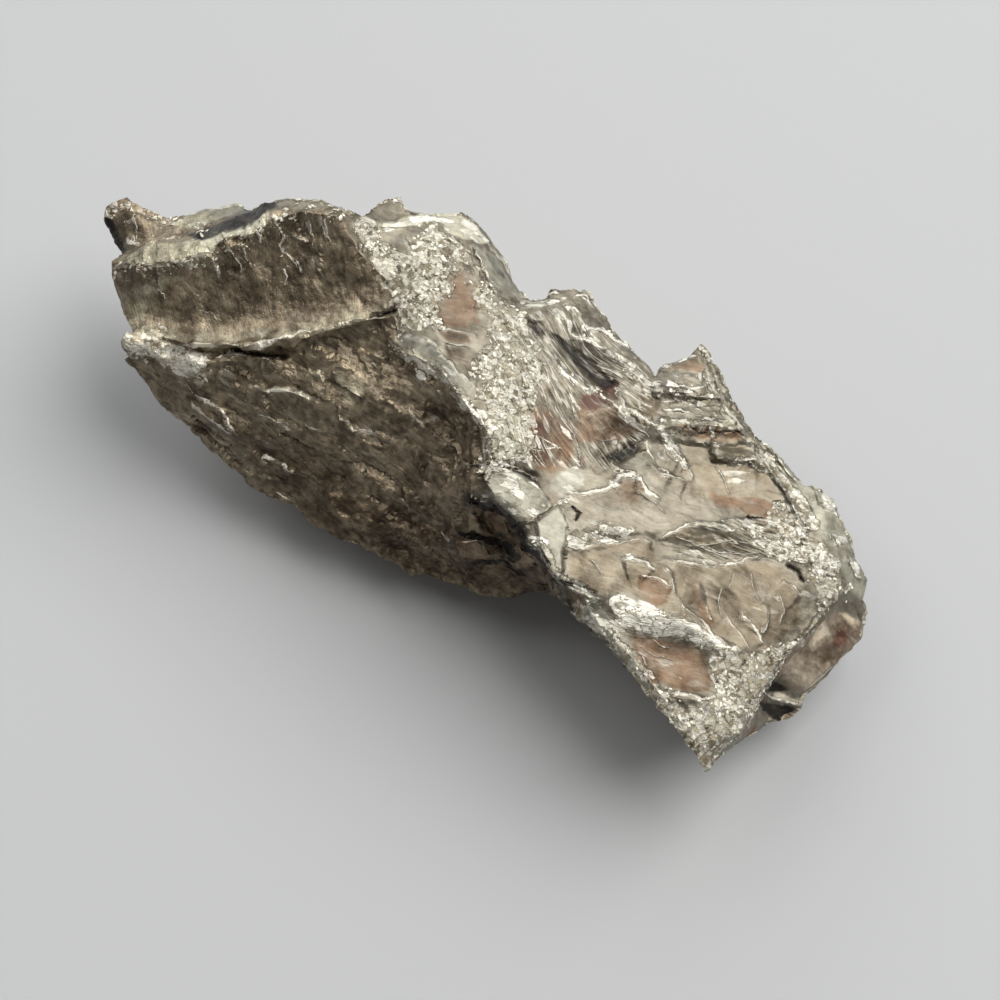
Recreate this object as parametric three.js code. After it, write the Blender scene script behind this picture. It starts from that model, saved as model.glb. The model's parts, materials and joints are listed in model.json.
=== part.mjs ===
// Elite shungite: one naturally broken piece about 60 mm long, with semi-metallic fracture faces.
//
// The stone is described face-up. Its most open side, the show face, looks along +Z, X runs to its
// right and Y to its top, and every point is [x, y, z] in millimetres. Lines along its real edges
// (crests, lips, shelf edges, hollows) are spanned by triangles, above for the show face and below
// for the underside. Both sheets share the outline, so together they are one closed body. The
// finished stone is then leaned back onto the flat facet that it rests on.
import * as THREE from 'three';

// ---- Driving dimensions, millimetres and degrees ----
const LEAN_DEG = 18; // the show face leans back this far when the stone rests on its facet
const RIM_STEP = 1.1; // spacing of the points along the outline
const EDGE_STEP = 1.15; // spacing of the points along each edge of the show face
const FACE_STEP = 1.4; // spacing of the points between the edges of the show face
const UNDER_STEP = 2.6; // spacing of the points between the edges of the underside
const LONGEST_EDGE = 2.4; // no triangle side is longer than this, the rest facet aside
const FACET_SIZE = 3.6; // size of the small flat breaks on the show face
const FACET_RELIEF = 0.16; // how far those small breaks stand in or out
const CHUNK_SIZE = 6.5; // size of the larger flat breaks on the underside
const CHUNK_RELIEF = 1.1; // how far those larger breaks stand in or out
const EVENING_ROUNDS = 6; // passes that even out the triangles of the steep underside walls
const THIN_EDGE = 0.4; // half the thickness of the thinnest corners of the outline
const REST_WAVER = 0.7; // how far the edge of the rest facet wanders from straight
const REST_CLEARANCE = 0.35; // the rough underside stays this far off the plane that it rests on

// ---- Outline of the stone, seen on its show face, clockwise from the spur at the upper left ----
const outline = [
  // the spur
  [-29.4, 20.8, 6], [-29.2, 21.7, 6.2], [-28.3, 22.2, 6.5], [-27.5, 22.5, 6.8], [-26.6, 21.8, 7],
  [-25.5, 21.2, 6.5], [-24.6, 20.8, 6.2],
  // the far shelf and the high ridge over the scoop
  [-23.2, 21, 7], [-21.6, 21.6, 7.5], [-19.1, 21.6, 8.2], [-18, 21.1, 10.5], [-16.9, 21.3, 12.6],
  [-16.2, 21.4, 13.3], [-14.3, 21.4, 13.6], [-12.8, 21.3, 13.8], [-11.2, 20.8, 13.6], [-9.8, 20.5, 12.8],
  // a crumb on the back edge, then the thin back rim down to the notch
  [-8.9, 21.5, 11.6], [-8.2, 21.9, 11.5], [-7.1, 22, 11.3], [-6.7, 21.1, 11.6], [-5.1, 20.7, 11.2],
  [-2.8, 20.9, 10.2], [-1.9, 20.3, 9.8], [-0.8, 19.3, 9.5], [0.1, 18, 9.2], [1, 15.9, 9],
  [1.5, 15.2, 9.2], [2.1, 14.4, 10.2],
  // the middle stretch and the second notch
  [3.3, 14.6, 10.6], [3.6, 15.4, 10.3], [5.3, 15.4, 10], [6.5, 15.2, 9.6], [7.1, 14.1, 9.4],
  [8.9, 11.7, 9.4], [10.2, 10.4, 9.6], [11.3, 9, 9.9],
  // the fin and the long back rail
  [11.9, 9.9, 9.6], [13.7, 10.5, 9.2], [14.7, 11.5, 8.9], [15.3, 10.5, 8.9], [16.9, 7.2, 9.1],
  [18.4, 5, 9.2], [20.8, 2.8, 9.2], [22.3, 1.1, 9.2],
  // the crumbly right end
  [22.9, 1.2, 9], [24.7, -0.2, 8.6], [24.7, -1, 8.8], [25.6, -2.6, 8.6], [26.2, -4.2, 8.5],
  [27, -5.9, 8.3], [26.6, -7.3, 8.4], [26.8, -8.2, 8.2], [26.5, -10, 8.2], [26, -11.1, 8.2],
  [24.8, -11.8, 8.4], [24, -12.9, 8.5], [22.9, -13.8, 8.6], [22.2, -14.3, 8.8], [21.9, -15.4, 8.8],
  [21.2, -16.2, 8.9], [19.5, -16.1, 9.6], [18.6, -17, 10.5], [16.9, -17.6, 12], [15.4, -18.4, 14.5],
  // the tip and the straight edge back up to the lower block
  [14.6, -19.1, 16.5], [13.9, -18, 17], [12.6, -16.3, 17.2], [10.9, -14.2, 17.2], [8.8, -11.7, 17],
  [6.7, -9.2, 16.8], [4.9, -7.8, 16], [4, -6.7, 15], [3.5, -6, 11.5], [3.2, -6.4, 8.5],
  // the foot of the dark wall
  [2.2, -7, 7], [0.6, -7.4, 7], [-0.9, -6.9, 6.9], [-3.7, -6.1, 6.8], [-7, -5.3, 6.6],
  [-9.6, -3.6, 6.2], [-11.5, -3, 6], [-13.7, -1.8, 5.6], [-16.4, -0.1, 5.3], [-18.6, 0.9, 5.1],
  [-20, 2.2, 5.2], [-21.2, 3.3, 5.2], [-22.5, 4.5, 5.5], [-23.9, 6.2, 6], [-25, 7.5, 6.6],
  [-26.4, 8.8, 7.5], [-27.3, 10.1, 8.8], [-27.6, 11.5, 10],
  // the left end of the scoop, up to the spur
  [-26.7, 12.2, 9.6], [-27.4, 13.6, 8.8], [-27.8, 15, 8.6], [-28.4, 17, 9.4], [-28.3, 17.4, 9.5],
  [-27.7, 18, 7.4], [-28.7, 19.3, 6],
];

// ---- Edges of the show face ----
const spur = {
  ridge: [[-28.6, 21.2, 6.9], [-27.1, 21.2, 7.8], [-25.7, 20.4, 8.2], [-23.6, 20.1, 8.2]],
  foot: [[-27.4, 18.6, 7.4], [-26, 19, 8.2], [-23.3, 19.3, 8.8]],
  farShelf: [[-22.9, 19.8, 8.4], [-21, 20.5, 8.8], [-19.1, 21.1, 9.2]],
  slateEdge: [[-22.5, 19.1, 10], [-20.2, 19.8, 11.4], [-18, 20.7, 12.4]],
};

const scoop = {
  crest: [
    [-27, 17.6, 10.2], [-25.3, 18.5, 11], [-22.3, 18.5, 11.9], [-19.9, 19, 12.7], [-18.2, 19.7, 13.2],
    [-16.4, 20.9, 13.7],
  ],
  band: [
    [-28, 16.8, 10.3], [-26.8, 16.7, 11.1], [-24.1, 16.8, 12.2], [-21.5, 17.3, 12.9], [-19.4, 18, 13.5],
    [-17.7, 18.7, 14], [-16.5, 19.7, 14.3], [-14.2, 20.5, 14.4], [-11.5, 20.2, 14.4],
  ],
  upper: [
    [-26.3, 15.5, 10.5], [-23.1, 15.6, 11.4], [-19.4, 16.1, 12.2], [-16.5, 17.1, 12.8],
    [-14.3, 18.3, 13.1], [-12.2, 18.6, 13.3],
  ],
  floor: [
    [-27, 13.7, 9.2], [-25.5, 13.3, 9.8], [-22.5, 12.9, 10.6], [-19.6, 12.9, 11.2],
    [-16.6, 13.2, 11.8], [-13.7, 13.6, 12.3], [-10.8, 14.3, 12.8], [-8.9, 14.5, 13.1],
  ],
  rib: [[-16.1, 20.5, 14.5], [-15.4, 19.1, 13.6], [-14.7, 17.8, 13], [-13.9, 15.8, 12.4]],
  rightEdge: [
    [-11.3, 20.5, 14.2], [-10.8, 19.1, 14.1], [-10.1, 17.7, 14], [-8.7, 16.3, 13.9],
    [-7.7, 15.3, 13.8], [-7.3, 14.3, 14],
  ],
  lip: [
    [-26.4, 12.3, 10.1], [-24.3, 11.8, 10.9], [-22.7, 11.3, 11.4], [-20.5, 11.2, 12],
    [-18.5, 11.1, 12.4], [-16.1, 11.5, 12.9], [-13.9, 11.6, 13.3], [-11.4, 12.4, 13.6],
    [-9.1, 12.9, 13.9], [-7.3, 13, 14.2],
  ],
  underLip: [
    [-22.9, 10.7, 10.3], [-20.7, 10.7, 10.6], [-18.5, 10.5, 11], [-15.5, 10.5, 11.6],
    [-13.5, 10.9, 12.1], [-11.1, 11.7, 12.6], [-8.9, 12.2, 13],
  ],
};

const darkWall = {
  westCrest: [
    [-27.3, 11.5, 10.4], [-26, 11.9, 10.9], [-24.2, 11.4, 11], [-23.1, 10.6, 11.3], [-21.4, 9.7, 11.4],
    [-19.5, 10.1, 11.4], [-17.6, 10.1, 11.6], [-15.9, 9.7, 11.8],
  ],
  upper: [
    [-25.6, 9.9, 9], [-22.4, 8.5, 9.6], [-18.9, 8.1, 10.4], [-15.2, 7.5, 11.1], [-12.3, 6.6, 11.5],
    [-9.2, 7.8, 12.6],
  ],
  middle: [
    [-23.7, 7, 7.4], [-21.2, 5.6, 8], [-17.4, 5.3, 9], [-13.8, 4.9, 9.8], [-10.1, 4.6, 10.7],
    [-6.5, 4, 11.5], [-3.4, 3.2, 12.8],
  ],
  lower: [
    [-20.6, 3.6, 6.3], [-17.6, 2.8, 7], [-14.7, 1.5, 7.3], [-10.9, 0.1, 8], [-7, -0.9, 8.8],
    [-3.6, -1.6, 9.8],
  ],
  foot: [[-14.8, -0.4, 6.2], [-10.6, -2.5, 6.9], [-6.5, -4, 7.5], [-2.5, -4.8, 8], [1.6, -5.4, 8.6]],
};

const mainCrest = {
  edge: [
    [-7.3, 13, 14.2], [-7.4, 11.2, 14.6], [-6, 10.2, 15], [-4.2, 9.1, 15.4], [-2.5, 6.9, 15.9],
    [-1.2, 5.3, 16.2], [-0.6, 4, 16.4], [-0.8, 2.6, 16.5], [-2, 0.8, 16.2], [-2.1, 0, 16.3],
    [-0.2, -0.6, 16.8], [1.2, -1.8, 17.1], [1.5, -2.8, 17.1], [2.9, -3.3, 17.4], [3.9, -5.5, 17.7],
    [4.9, -6.2, 17.8], [7.1, -7, 17.9],
  ],
  foot: [
    [-7.9, 10.6, 13.2], [-6.3, 9.2, 13.4], [-4.7, 7.6, 13.7], [-2.8, 5.7, 14.3], [-1, 4.2, 15],
    [-1.6, 2.3, 15], [-2.6, 1.1, 14.4], [-2.7, -0.2, 13.6],
  ],
  bevel: [[-5.3, 8.8, 14.3], [-3.6, 7.2, 14.6], [-1.8, 5.5, 15.2]],
  cavity: [[-1.9, -0.9, 12.6], [-0.2, -1.6, 12.4], [0.9, -2.9, 12.2], [2.2, -4.5, 11.6]],
  cavityShelf: [[-3.2, -2, 11.8], [-2.2, -2.9, 11.7], [-0.9, -3.8, 11.2], [0.7, -4.4, 10.6]],
  blockWall: [[4.2, -6.2, 16.6], [5.1, -7.2, 16.2], [5.9, -8.2, 16.6]],
  nearEdge: [
    [7.3, -8.8, 17.3], [9.1, -10.9, 17.3], [10.9, -13.2, 17.4], [12.3, -14.9, 17.3], [13.6, -16.7, 17.4],
  ],
};

const crumblyTop = {
  rimStrip: [
    [-5, 19.6, 12.2], [-3.2, 19.9, 11.6], [-2.2, 19.1, 11.3], [-1.2, 18.1, 11], [-0.3, 16.8, 10.8],
    [0.4, 15.2, 11], [1.4, 13.9, 11.5],
  ],
  front: [[-9.6, 19.7, 13.3], [-8.2, 19.5, 12.9], [-6.6, 19.5, 12.6]],
  patch: [
    [-6.3, 16.6, 13.6], [-4.9, 17.2, 13.3], [-3.2, 17.1, 12.9], [-2.2, 15.7, 12.7], [-1.5, 13, 13.4],
    [-3, 12.4, 14], [-4.4, 12.8, 14.3],
  ],
  slope: [[-5.1, 14.8, 13.9], [-3.4, 14.3, 13.5]],
  pinkStep: [[-5.7, 12.1, 14.8], [-3.9, 11, 15.1], [-1.8, 10.5, 14.7], [-1.4, 8.2, 15.2], [-2.5, 8.2, 15.7]],
  notchPlate: [[1.6, 13.1, 11.9], [3.1, 12.4, 12.4], [2.9, 11, 12.9]],
  chip: [[2.6, 14, 11.6], [3.3, 14.3, 11.3], [3.8, 13, 11.7]],
};

const brightFace = {
  middleLedge: [[3.7, 10.7, 13.2], [4.7, 9.2, 13.3], [6.2, 7.7, 13.1], [7.6, 6.9, 12.8]],
  middleGroove: [[5.3, 11, 11.2], [6.5, 9.8, 11.1], [7.7, 8.5, 11.3]],
  streak: [[5.8, 12.8, 11.5], [7.7, 11.6, 11.5], [9.7, 10.3, 10.8]],
  pit: [[7.6, 3.3, 12.9], [8.8, 3.6, 12.3], [10.1, 3.9, 12.1]],
  curvedLedge: [[8.6, 7.3, 12.5], [9.9, 5.9, 12.6], [11.5, 5, 12.2]],
  fin: [[11.7, 8.8, 10.7], [13.5, 9.2, 9.9], [15, 9.3, 9.3]],
  shelf1: [[11.3, 7.8, 11.4], [13.8, 7.5, 10.7], [16, 7.4, 9.7]],
  shelf1Foot: [[11.3, 7.2, 10.9], [13.8, 7, 10.1], [16.3, 6.7, 9.3]],
  shelf2: [[11.5, 5.2, 12.2], [13.3, 5.5, 11.7], [14.9, 5.4, 11.1], [17.5, 5.2, 9.9]],
  shelf2Foot: [[13, 4.8, 11], [15, 4.6, 10.4], [17.6, 4.4, 9.6]],
  shelf3: [[15.3, 4.2, 11], [16.1, 3.2, 11], [17.8, 2.8, 10.5], [19.2, 2.7, 9.9]],
  backRail: [
    [15.2, 9.2, 9], [16.2, 7.4, 9.3], [17.6, 5.1, 9.7], [19.4, 3.2, 9.8], [21.4, 0.6, 10],
    [22.7, -1.7, 10.2],
  ],
  swell: [[4.3, 5, 14.5], [7.1, 2.1, 14.3], [10.7, 2.1, 13.2], [14.4, 1.4, 12.1], [18.1, 0, 11.2]],
  lowSwell: [[5.7, 0, 15.5], [10, -0.4, 14.1]],
  crack: [[2.6, 1.3, 15.6], [1.1, 2.1, 15.7], [-0.6, 2.4, 16.2]],
  quad: [
    [-1, 1.7, 16.9], [1.4, 1.8, 16.3], [2.8, 0.8, 16.1], [3.2, -0.1, 16.4], [1.5, -1.5, 17.1],
    [0, -0.4, 17.2],
  ],
  triangle: [[2.7, -1.5, 16.8], [4.4, -0.3, 16.1], [4.8, -2.1, 16.5], [4.2, -5, 17.3]],
  longLedge: [
    [5.3, -3.2, 16.6], [7.1, -2.1, 15.9], [8.9, -2, 15.2], [11.7, -2.4, 14.3], [14.1, -1.6, 13.5],
    [16.1, -1.9, 12.9], [18.4, -3.2, 12.4],
  ],
  longLedgeFoot: [
    [5.9, -3.9, 16.1], [8.7, -3, 15], [11.7, -3.1, 14], [14.6, -4, 13.2], [17.4, -4.3, 12.4],
    [18.9, -4.3, 12.1],
  ],
  flake: [[8.6, -4.2, 15.9], [10.3, -4.4, 15.4], [12.2, -5.7, 15]],
  ripples: [[12.1, -5.1, 14.9], [12.9, -6.5, 15.1], [13.7, -8.2, 15.2]],
  redGroove: [[14.5, -6, 13.9], [14.8, -7.3, 14], [14.9, -8.5, 14.6]],
  farRipple: [[17.1, -4.4, 13], [17.3, -7.1, 13.9], [17.8, -10, 14.5]],
  roundPlate: [[19.9, -4, 12], [21.6, -4, 11.6], [22.8, -3, 10.9], [22.6, -2.2, 10.4]],
  diagonalBand: [
    [7.5, -7, 17], [9.3, -7.9, 17], [11.4, -8, 16.3], [14.3, -9.3, 15.7], [15.9, -10.3, 15.3],
    [18.5, -10.8, 14.5],
  ],
  diagonalFoot: [[8.6, -9.1, 17], [11.3, -9.7, 16.1], [13.7, -9.9, 15.2], [14.7, -10.8, 15.2]],
  redPatch: [[9.6, -10.5, 16.7], [11.3, -11.8, 16.3], [13.4, -11.9, 15.6], [14.6, -13, 15.7]],
  lowerLedge: [[11.2, -13.6, 17.4], [12.8, -13.7, 17.2], [15.1, -14.2, 16.5], [17.5, -14.4, 15.5]],
  tipRidge: [[14.9, -15.8, 16.8], [15.3, -17.2, 16.8]],
};

const rightEnd = {
  edge: [
    [24.2, -7.2, 10.8], [22.9, -8.8, 11.9], [21.4, -10.2, 12.9], [20, -11.1, 13.6], [19.8, -12, 13.8],
    [18.6, -13.5, 14.6], [17.7, -14.7, 15.3], [16.8, -16.5, 15.9],
  ],
  foot: [[24.6, -8.2, 9.6], [23.4, -9.7, 9.9], [21.9, -11, 10.4], [20.7, -12.2, 10.8]],
  lobe: [[25.6, -9.1, 9], [24.2, -10.7, 9.3], [22.4, -12.2, 9.6], [21.6, -13.4, 9.5]],
  hollow: [[20.1, -13.4, 9.2], [19.5, -14, 9.6], [20.6, -14.6, 9.3]],
  lump: [[18.5, -15.2, 11.6], [17.9, -16.3, 12]],
  crumbs: [[22.7, 0.4, 9.8], [23.9, -0.6, 9.6], [23.2, -2.9, 10.6], [24.4, -4.4, 10.6], [25.4, -6.5, 10.2]],
};

// ---- The underside: the flat facet that the stone rests on, and the broken walls above it ----
const restFacet = [
  [-15, 8.5], [-13.5, 13.5], [-8, 15], [-2, 12.8], [3, 8.2], [8.5, 5], [12.5, 1.5], [13, -4],
  [8.5, -5], [2.5, -1.2], [-4, 0.6], [-11, 3.6],
];
const lowWall = [
  [-21.5, 13, -0.8], [-19, 17.5, -2.6], [-14, 18.2, -4], [-8, 18, -2.6], [-2.5, 16.4, -3.8],
  [1.2, 12.6, -1.2], [6, 10, -1.8], [10.5, 7.2, 0.4], [15, 3.2, 1.2], [18.5, -3, 3.4],
  [19.5, -8.5, 5], [16, -11, 6], [12.2, -9, 4.6], [8.6, -8.2, 4.8], [4.6, -4.4, 4.2],
  [0.6, -2.8, 1.9], [-5, -1.4, 2.3], [-11, 0.8, 1.2], [-16, 4.2, 0.6], [-19.4, 8, 0],
];
const highWall = [
  [-25.5, 15.5, 3], [-25.5, 19, 2], [-21, 20, 1], [-16, 20, 6], [-13.5, 19.6, 0.5], [-9, 19.8, 5],
  [-6, 19.3, -1], [-3, 19.2, 4.5], [-0.8, 17.5, 1], [0.6, 14.8, 3.5], [2.8, 13, 5], [5.5, 13.4, 2],
  [8, 10.8, 3.5], [10.6, 8.6, 4.5], [13.7, 8.8, 3], [16.2, 5.5, 4.5], [19.5, 1.8, 3],
  [22.8, -1, 4.5], [24.2, -4.5, 3], [25, -8.5, 5], [23, -10.5, 5.2], [19.5, -13.5, 6.5],
  [15.5, -15.8, 9], [13.2, -14.8, 12], [10.2, -12, 9.5], [7.2, -9.2, 11.5], [4.8, -6.6, 9],
  [3, -5.2, 6], [0.6, -5.8, 4.2], [-4, -4.4, 4], [-8.5, -2.8, 3.8], [-12.5, -0.8, 3],
  [-16, 1.6, 2.4], [-19.4, 4, 2.2], [-22, 7.2, 1.5], [-24.5, 11, 2.5],
];

// ---- Small helpers ----
const lean = THREE.MathUtils.degToRad(LEAN_DEG);

/** Height, in the face-up frame, of the plane that the stone rests on. */
function restPlane(y) {
  return -Math.tan(lean) * y;
}

/** Repeatable value between 0 and 1 for whole-number inputs. */
function hash(i, j, k) {
  let h = Math.imul(i, 374761393) ^ Math.imul(j, 668265263) ^ Math.imul(k, 2147483647);
  h = Math.imul(h ^ (h >>> 13), 1274126177);
  return ((h ^ (h >>> 16)) >>> 0) / 4294967295;
}

/** Points along a line at no more than the given spacing, both ends kept. */
function walk(line, step, closed = false) {
  const corners = closed ? [...line, line[0]] : line;
  const points = [corners[0]];
  for (let i = 1; i < corners.length; i++) {
    const [a, b] = [corners[i - 1], corners[i]];
    const count = Math.max(1, Math.round(Math.hypot(b[0] - a[0], b[1] - a[1]) / step));
    for (let n = 1; n <= count; n++) {
      points.push(a.map((value, axis) => value + ((b[axis] - value) * n) / count));
    }
  }
  if (closed) points.pop();
  return points;
}

/** Whether (x, y) lies inside a closed outline. */
function inside(x, y, ring) {
  let within = false;
  for (let i = 0, j = ring.length - 1; i < ring.length; j = i++) {
    const [xi, yi] = ring[i];
    const [xj, yj] = ring[j];
    if (yi > y !== yj > y && x < xi + ((xj - xi) * (y - yi)) / (yj - yi)) within = !within;
  }
  return within;
}

/** Distance from (x, y) to the nearest of some points. */
function clearance(x, y, points) {
  return points.reduce((least, p) => Math.min(least, Math.hypot(p[0] - x, p[1] - y)), Infinity);
}

// ---- Spanning points with triangles ----

/** Delaunay triangles of the points' x and y, as counter-clockwise index triples. */
function triangulate(points) {
  const far = 1000;
  const all = [...points, [-far, -far], [far, -far], [0, far]];
  const n = points.length;
  let triangles = [circle(all, n, n + 1, n + 2)];
  for (let i = 0; i < n; i++) {
    const [x, y] = all[i];
    const border = new Map();
    triangles = triangles.filter((t) => {
      if ((t.x - x) ** 2 + (t.y - y) ** 2 >= t.r2) return true;
      for (const [a, b] of [[t.a, t.b], [t.b, t.c], [t.c, t.a]]) {
        if (!border.delete(`${b},${a}`)) border.set(`${a},${b}`, [a, b]);
      }
      return false;
    });
    for (const [a, b] of border.values()) triangles.push(circle(all, a, b, i));
  }
  return triangles.filter((t) => t.a < n && t.b < n && t.c < n).map((t) => [t.a, t.b, t.c]);
}

/** A triangle with the centre and squared radius of the circle through its corners. */
function circle(points, a, b, c) {
  const [ax, ay] = points[a];
  const [bx, by] = [points[b][0] - ax, points[b][1] - ay];
  const [cx, cy] = [points[c][0] - ax, points[c][1] - ay];
  const d = 2 * (bx * cy - by * cx);
  const ux = (cy * (bx * bx + by * by) - by * (cx * cx + cy * cy)) / d;
  const uy = (bx * (cx * cx + cy * cy) - cx * (bx * bx + by * by)) / d;
  return { a, b, c, x: ax + ux, y: ay + uy, r2: ux * ux + uy * uy };
}

/** The triangles whose middle lies inside the outline. */
function clipTo(ring, points, triangles) {
  return triangles.filter((t) => {
    const x = (points[t[0]][0] + points[t[1]][0] + points[t[2]][0]) / 3;
    const y = (points[t[0]][1] + points[t[1]][1] + points[t[2]][1]) / 3;
    return inside(x, y, ring);
  });
}

/** Height at (x, y) on a triangulated sheet. */
function heightOn(points, triangles, x, y) {
  for (const t of triangles) {
    const [a, b, c] = t.map((i) => points[i]);
    const area = (b[0] - a[0]) * (c[1] - a[1]) - (b[1] - a[1]) * (c[0] - a[0]);
    const v = ((x - a[0]) * (c[1] - a[1]) - (y - a[1]) * (c[0] - a[0])) / area;
    const w = ((b[0] - a[0]) * (y - a[1]) - (b[1] - a[1]) * (x - a[0])) / area;
    if (v >= -1e-6 && w >= -1e-6 && v + w <= 1 + 1e-6) {
      return a[2] + v * (b[2] - a[2]) + w * (c[2] - a[2]);
    }
  }
  return null;
}

/** One sheet of the stone: the rim, the given edge points, and scattered points between them. */
function sheet(rim, edgePoints, step, keepOut = []) {
  const guide = [...rim, ...edgePoints];
  const guideTriangles = clipTo(rim, guide, triangulate(guide));
  const points = [...guide];
  const row = (step * Math.sqrt(3)) / 2;
  for (let j = -30; j * row < 30; j++) {
    for (let i = -30; i * step < 32; i++) {
      const x = i * step + (j % 2) * step * 0.5 + (hash(i, j, 1) - 0.5) * step * 0.55;
      const y = j * row + (hash(i, j, 2) - 0.5) * step * 0.55;
      if (!inside(x, y, rim) || clearance(x, y, points) < step * 0.62) continue;
      if (keepOut.length > 0 && inside(x, y, keepOut)) continue;
      const z = heightOn(guide, guideTriangles, x, y);
      if (z !== null) points.push([x, y, z]);
    }
  }
  return { points, triangles: clipTo(rim, points, triangulate(points)) };
}

/** Gives each side that crosses the sheet from rim to rim a middle point, set off by a little height. */
function splitCrossings({ points, triangles }, rimCount, offset) {
  const middles = new Map();
  const middle = (a, b) => {
    const apart = Math.abs(a - b);
    if (a >= rimCount || b >= rimCount || apart === 1 || apart === rimCount - 1) return -1;
    const key = a < b ? `${a},${b}` : `${b},${a}`;
    if (!middles.has(key)) {
      const [p, q] = [points[a], points[b]];
      middles.set(key, points.push([(p[0] + q[0]) / 2, (p[1] + q[1]) / 2, (p[2] + q[2]) / 2 + offset]) - 1);
    }
    return middles.get(key);
  };
  return triangles.flatMap((t) => cutTriangle(t, t.map((a, i) => middle(a, t[(i + 1) % 3]))));
}

/** Splits every side longer than the limit, leaving sides that lie on the rest plane alone. */
function splitLongSides(points, triangles, limit) {
  const onRest = (p) => Math.abs(p[2] - restPlane(p[1])) < 1e-6;
  let current = triangles;
  for (let split = true; split; ) {
    split = false;
    const middles = new Map();
    const middle = (a, b) => {
      const key = a < b ? `${a},${b}` : `${b},${a}`;
      if (middles.has(key)) return middles.get(key);
      const [p, q] = [points[a], points[b]];
      const length = Math.hypot(p[0] - q[0], p[1] - q[1], p[2] - q[2]);
      let found = -1;
      if (length > limit && !(onRest(p) && onRest(q))) {
        found = points.push(p.map((value, axis) => (value + q[axis]) / 2)) - 1;
        split = true;
      }
      middles.set(key, found);
      return found;
    };
    current = current.flatMap((t) => cutTriangle(t, t.map((a, i) => middle(a, t[(i + 1) % 3]))));
  }
  return current;
}

/** The pieces of a triangle whose sides may have a middle point (-1 where there is none). */
function cutTriangle([a, b, c], [ab, bc, ca]) {
  if (ab < 0 && bc < 0 && ca < 0) return [[a, b, c]];
  if (ab >= 0 && bc >= 0 && ca >= 0) return [[a, ab, ca], [ab, b, bc], [ca, bc, c], [ab, bc, ca]];
  if (ab < 0) return cutTriangle([b, c, a], [bc, ca, ab]);
  if (bc < 0 && ca < 0) return [[a, ab, c], [ab, b, c]];
  if (bc >= 0) return [[a, ab, c], [ab, bc, c], [ab, b, bc]];
  return [[a, ab, ca], [ab, c, ca], [ab, b, c]];
}

// ---- Fracture relief ----

/** Small flat breaks: each spot takes the tilted plane of its nearest random seed, between -1 and 1. */
function brokenFacets(x, y, z, size) {
  const [i, j, k] = [Math.floor(x / size), Math.floor(y / size), Math.floor(z / size)];
  let nearest = Infinity;
  let value = 0;
  for (let di = -1; di <= 1; di++) {
    for (let dj = -1; dj <= 1; dj++) {
      for (let dk = -1; dk <= 1; dk++) {
        const [a, b, c] = [i + di, j + dj, k + dk];
        const sx = x / size - a - hash(a, b, c);
        const sy = y / size - b - hash(b, c, a + 7);
        const sz = z / size - c - hash(c, a, b + 3);
        const distance = sx * sx + sy * sy + sz * sz;
        if (distance < nearest) {
          nearest = distance;
          const tilt = (hash(a, b + 5, c) - 0.5) * sx + (hash(a + 9, b, c) - 0.5) * sy;
          value = (hash(a, b, c + 11) - 0.5) * 1.2 + tilt * 1.6;
        }
      }
    }
  }
  return value;
}

/** The vertices that only underside triangles use, the rest facet's aside. */
function underVertices(points, triangles) {
  const shown = new Set(triangles.filter((t) => facesUp(points, t)).flat());
  const all = points.map((p, i) => i);
  return new Set(all.filter((i) => !shown.has(i) && points[i][2] - restPlane(points[i][1]) > 1e-6));
}

/** Whether a triangle of the face-up stone looks up. */
function facesUp(points, [a, b, c]) {
  const [p, q, r] = [points[a], points[b], points[c]];
  return (q[0] - p[0]) * (r[1] - p[1]) - (q[1] - p[1]) * (r[0] - p[0]) > 0;
}

/** Draws each of the given vertices towards the middle of its neighbours. */
function evenOut(points, triangles, vertices, rounds) {
  const neighbours = points.map(() => new Set());
  for (const [a, b, c] of triangles) {
    for (const [i, j] of [[a, b], [b, c], [c, a]]) {
      neighbours[i].add(j);
      neighbours[j].add(i);
    }
  }
  for (let round = 0; round < rounds; round++) {
    for (const i of vertices) {
      const around = [...neighbours[i]];
      for (let axis = 0; axis < 3; axis++) {
        const middle = around.reduce((sum, j) => sum + points[j][axis], 0) / around.length;
        points[i][axis] += (middle - points[i][axis]) * 0.5;
      }
    }
  }
}

/** Moves each vertex along its normal by the fracture relief, and keeps the rest facet flat. */
function roughen(points, triangles, under) {
  const normals = vertexNormals(points, triangles);
  points.forEach((p, i) => {
    const [x, y, z] = p;
    if (z - restPlane(y) < 1e-6) return;
    const relief = under.has(i)
      ? CHUNK_RELIEF * (brokenFacets(x, y, z, CHUNK_SIZE) - 0.3)
      : FACET_RELIEF * brokenFacets(x, y, z, FACET_SIZE);
    for (let axis = 0; axis < 3; axis++) p[axis] += normals[i][axis] * relief;
    p[2] = Math.max(p[2], restPlane(p[1]) + REST_CLEARANCE);
  });
}

/** Area-weighted unit normals at the vertices. */
function vertexNormals(points, triangles) {
  const sums = points.map(() => new THREE.Vector3());
  for (const t of triangles) {
    const [a, b, c] = t.map((i) => new THREE.Vector3(...points[i]));
    const normal = b.sub(a).cross(c.sub(a));
    t.forEach((i) => sums[i].add(normal));
  }
  return sums.map((n) => n.normalize().toArray());
}

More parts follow.
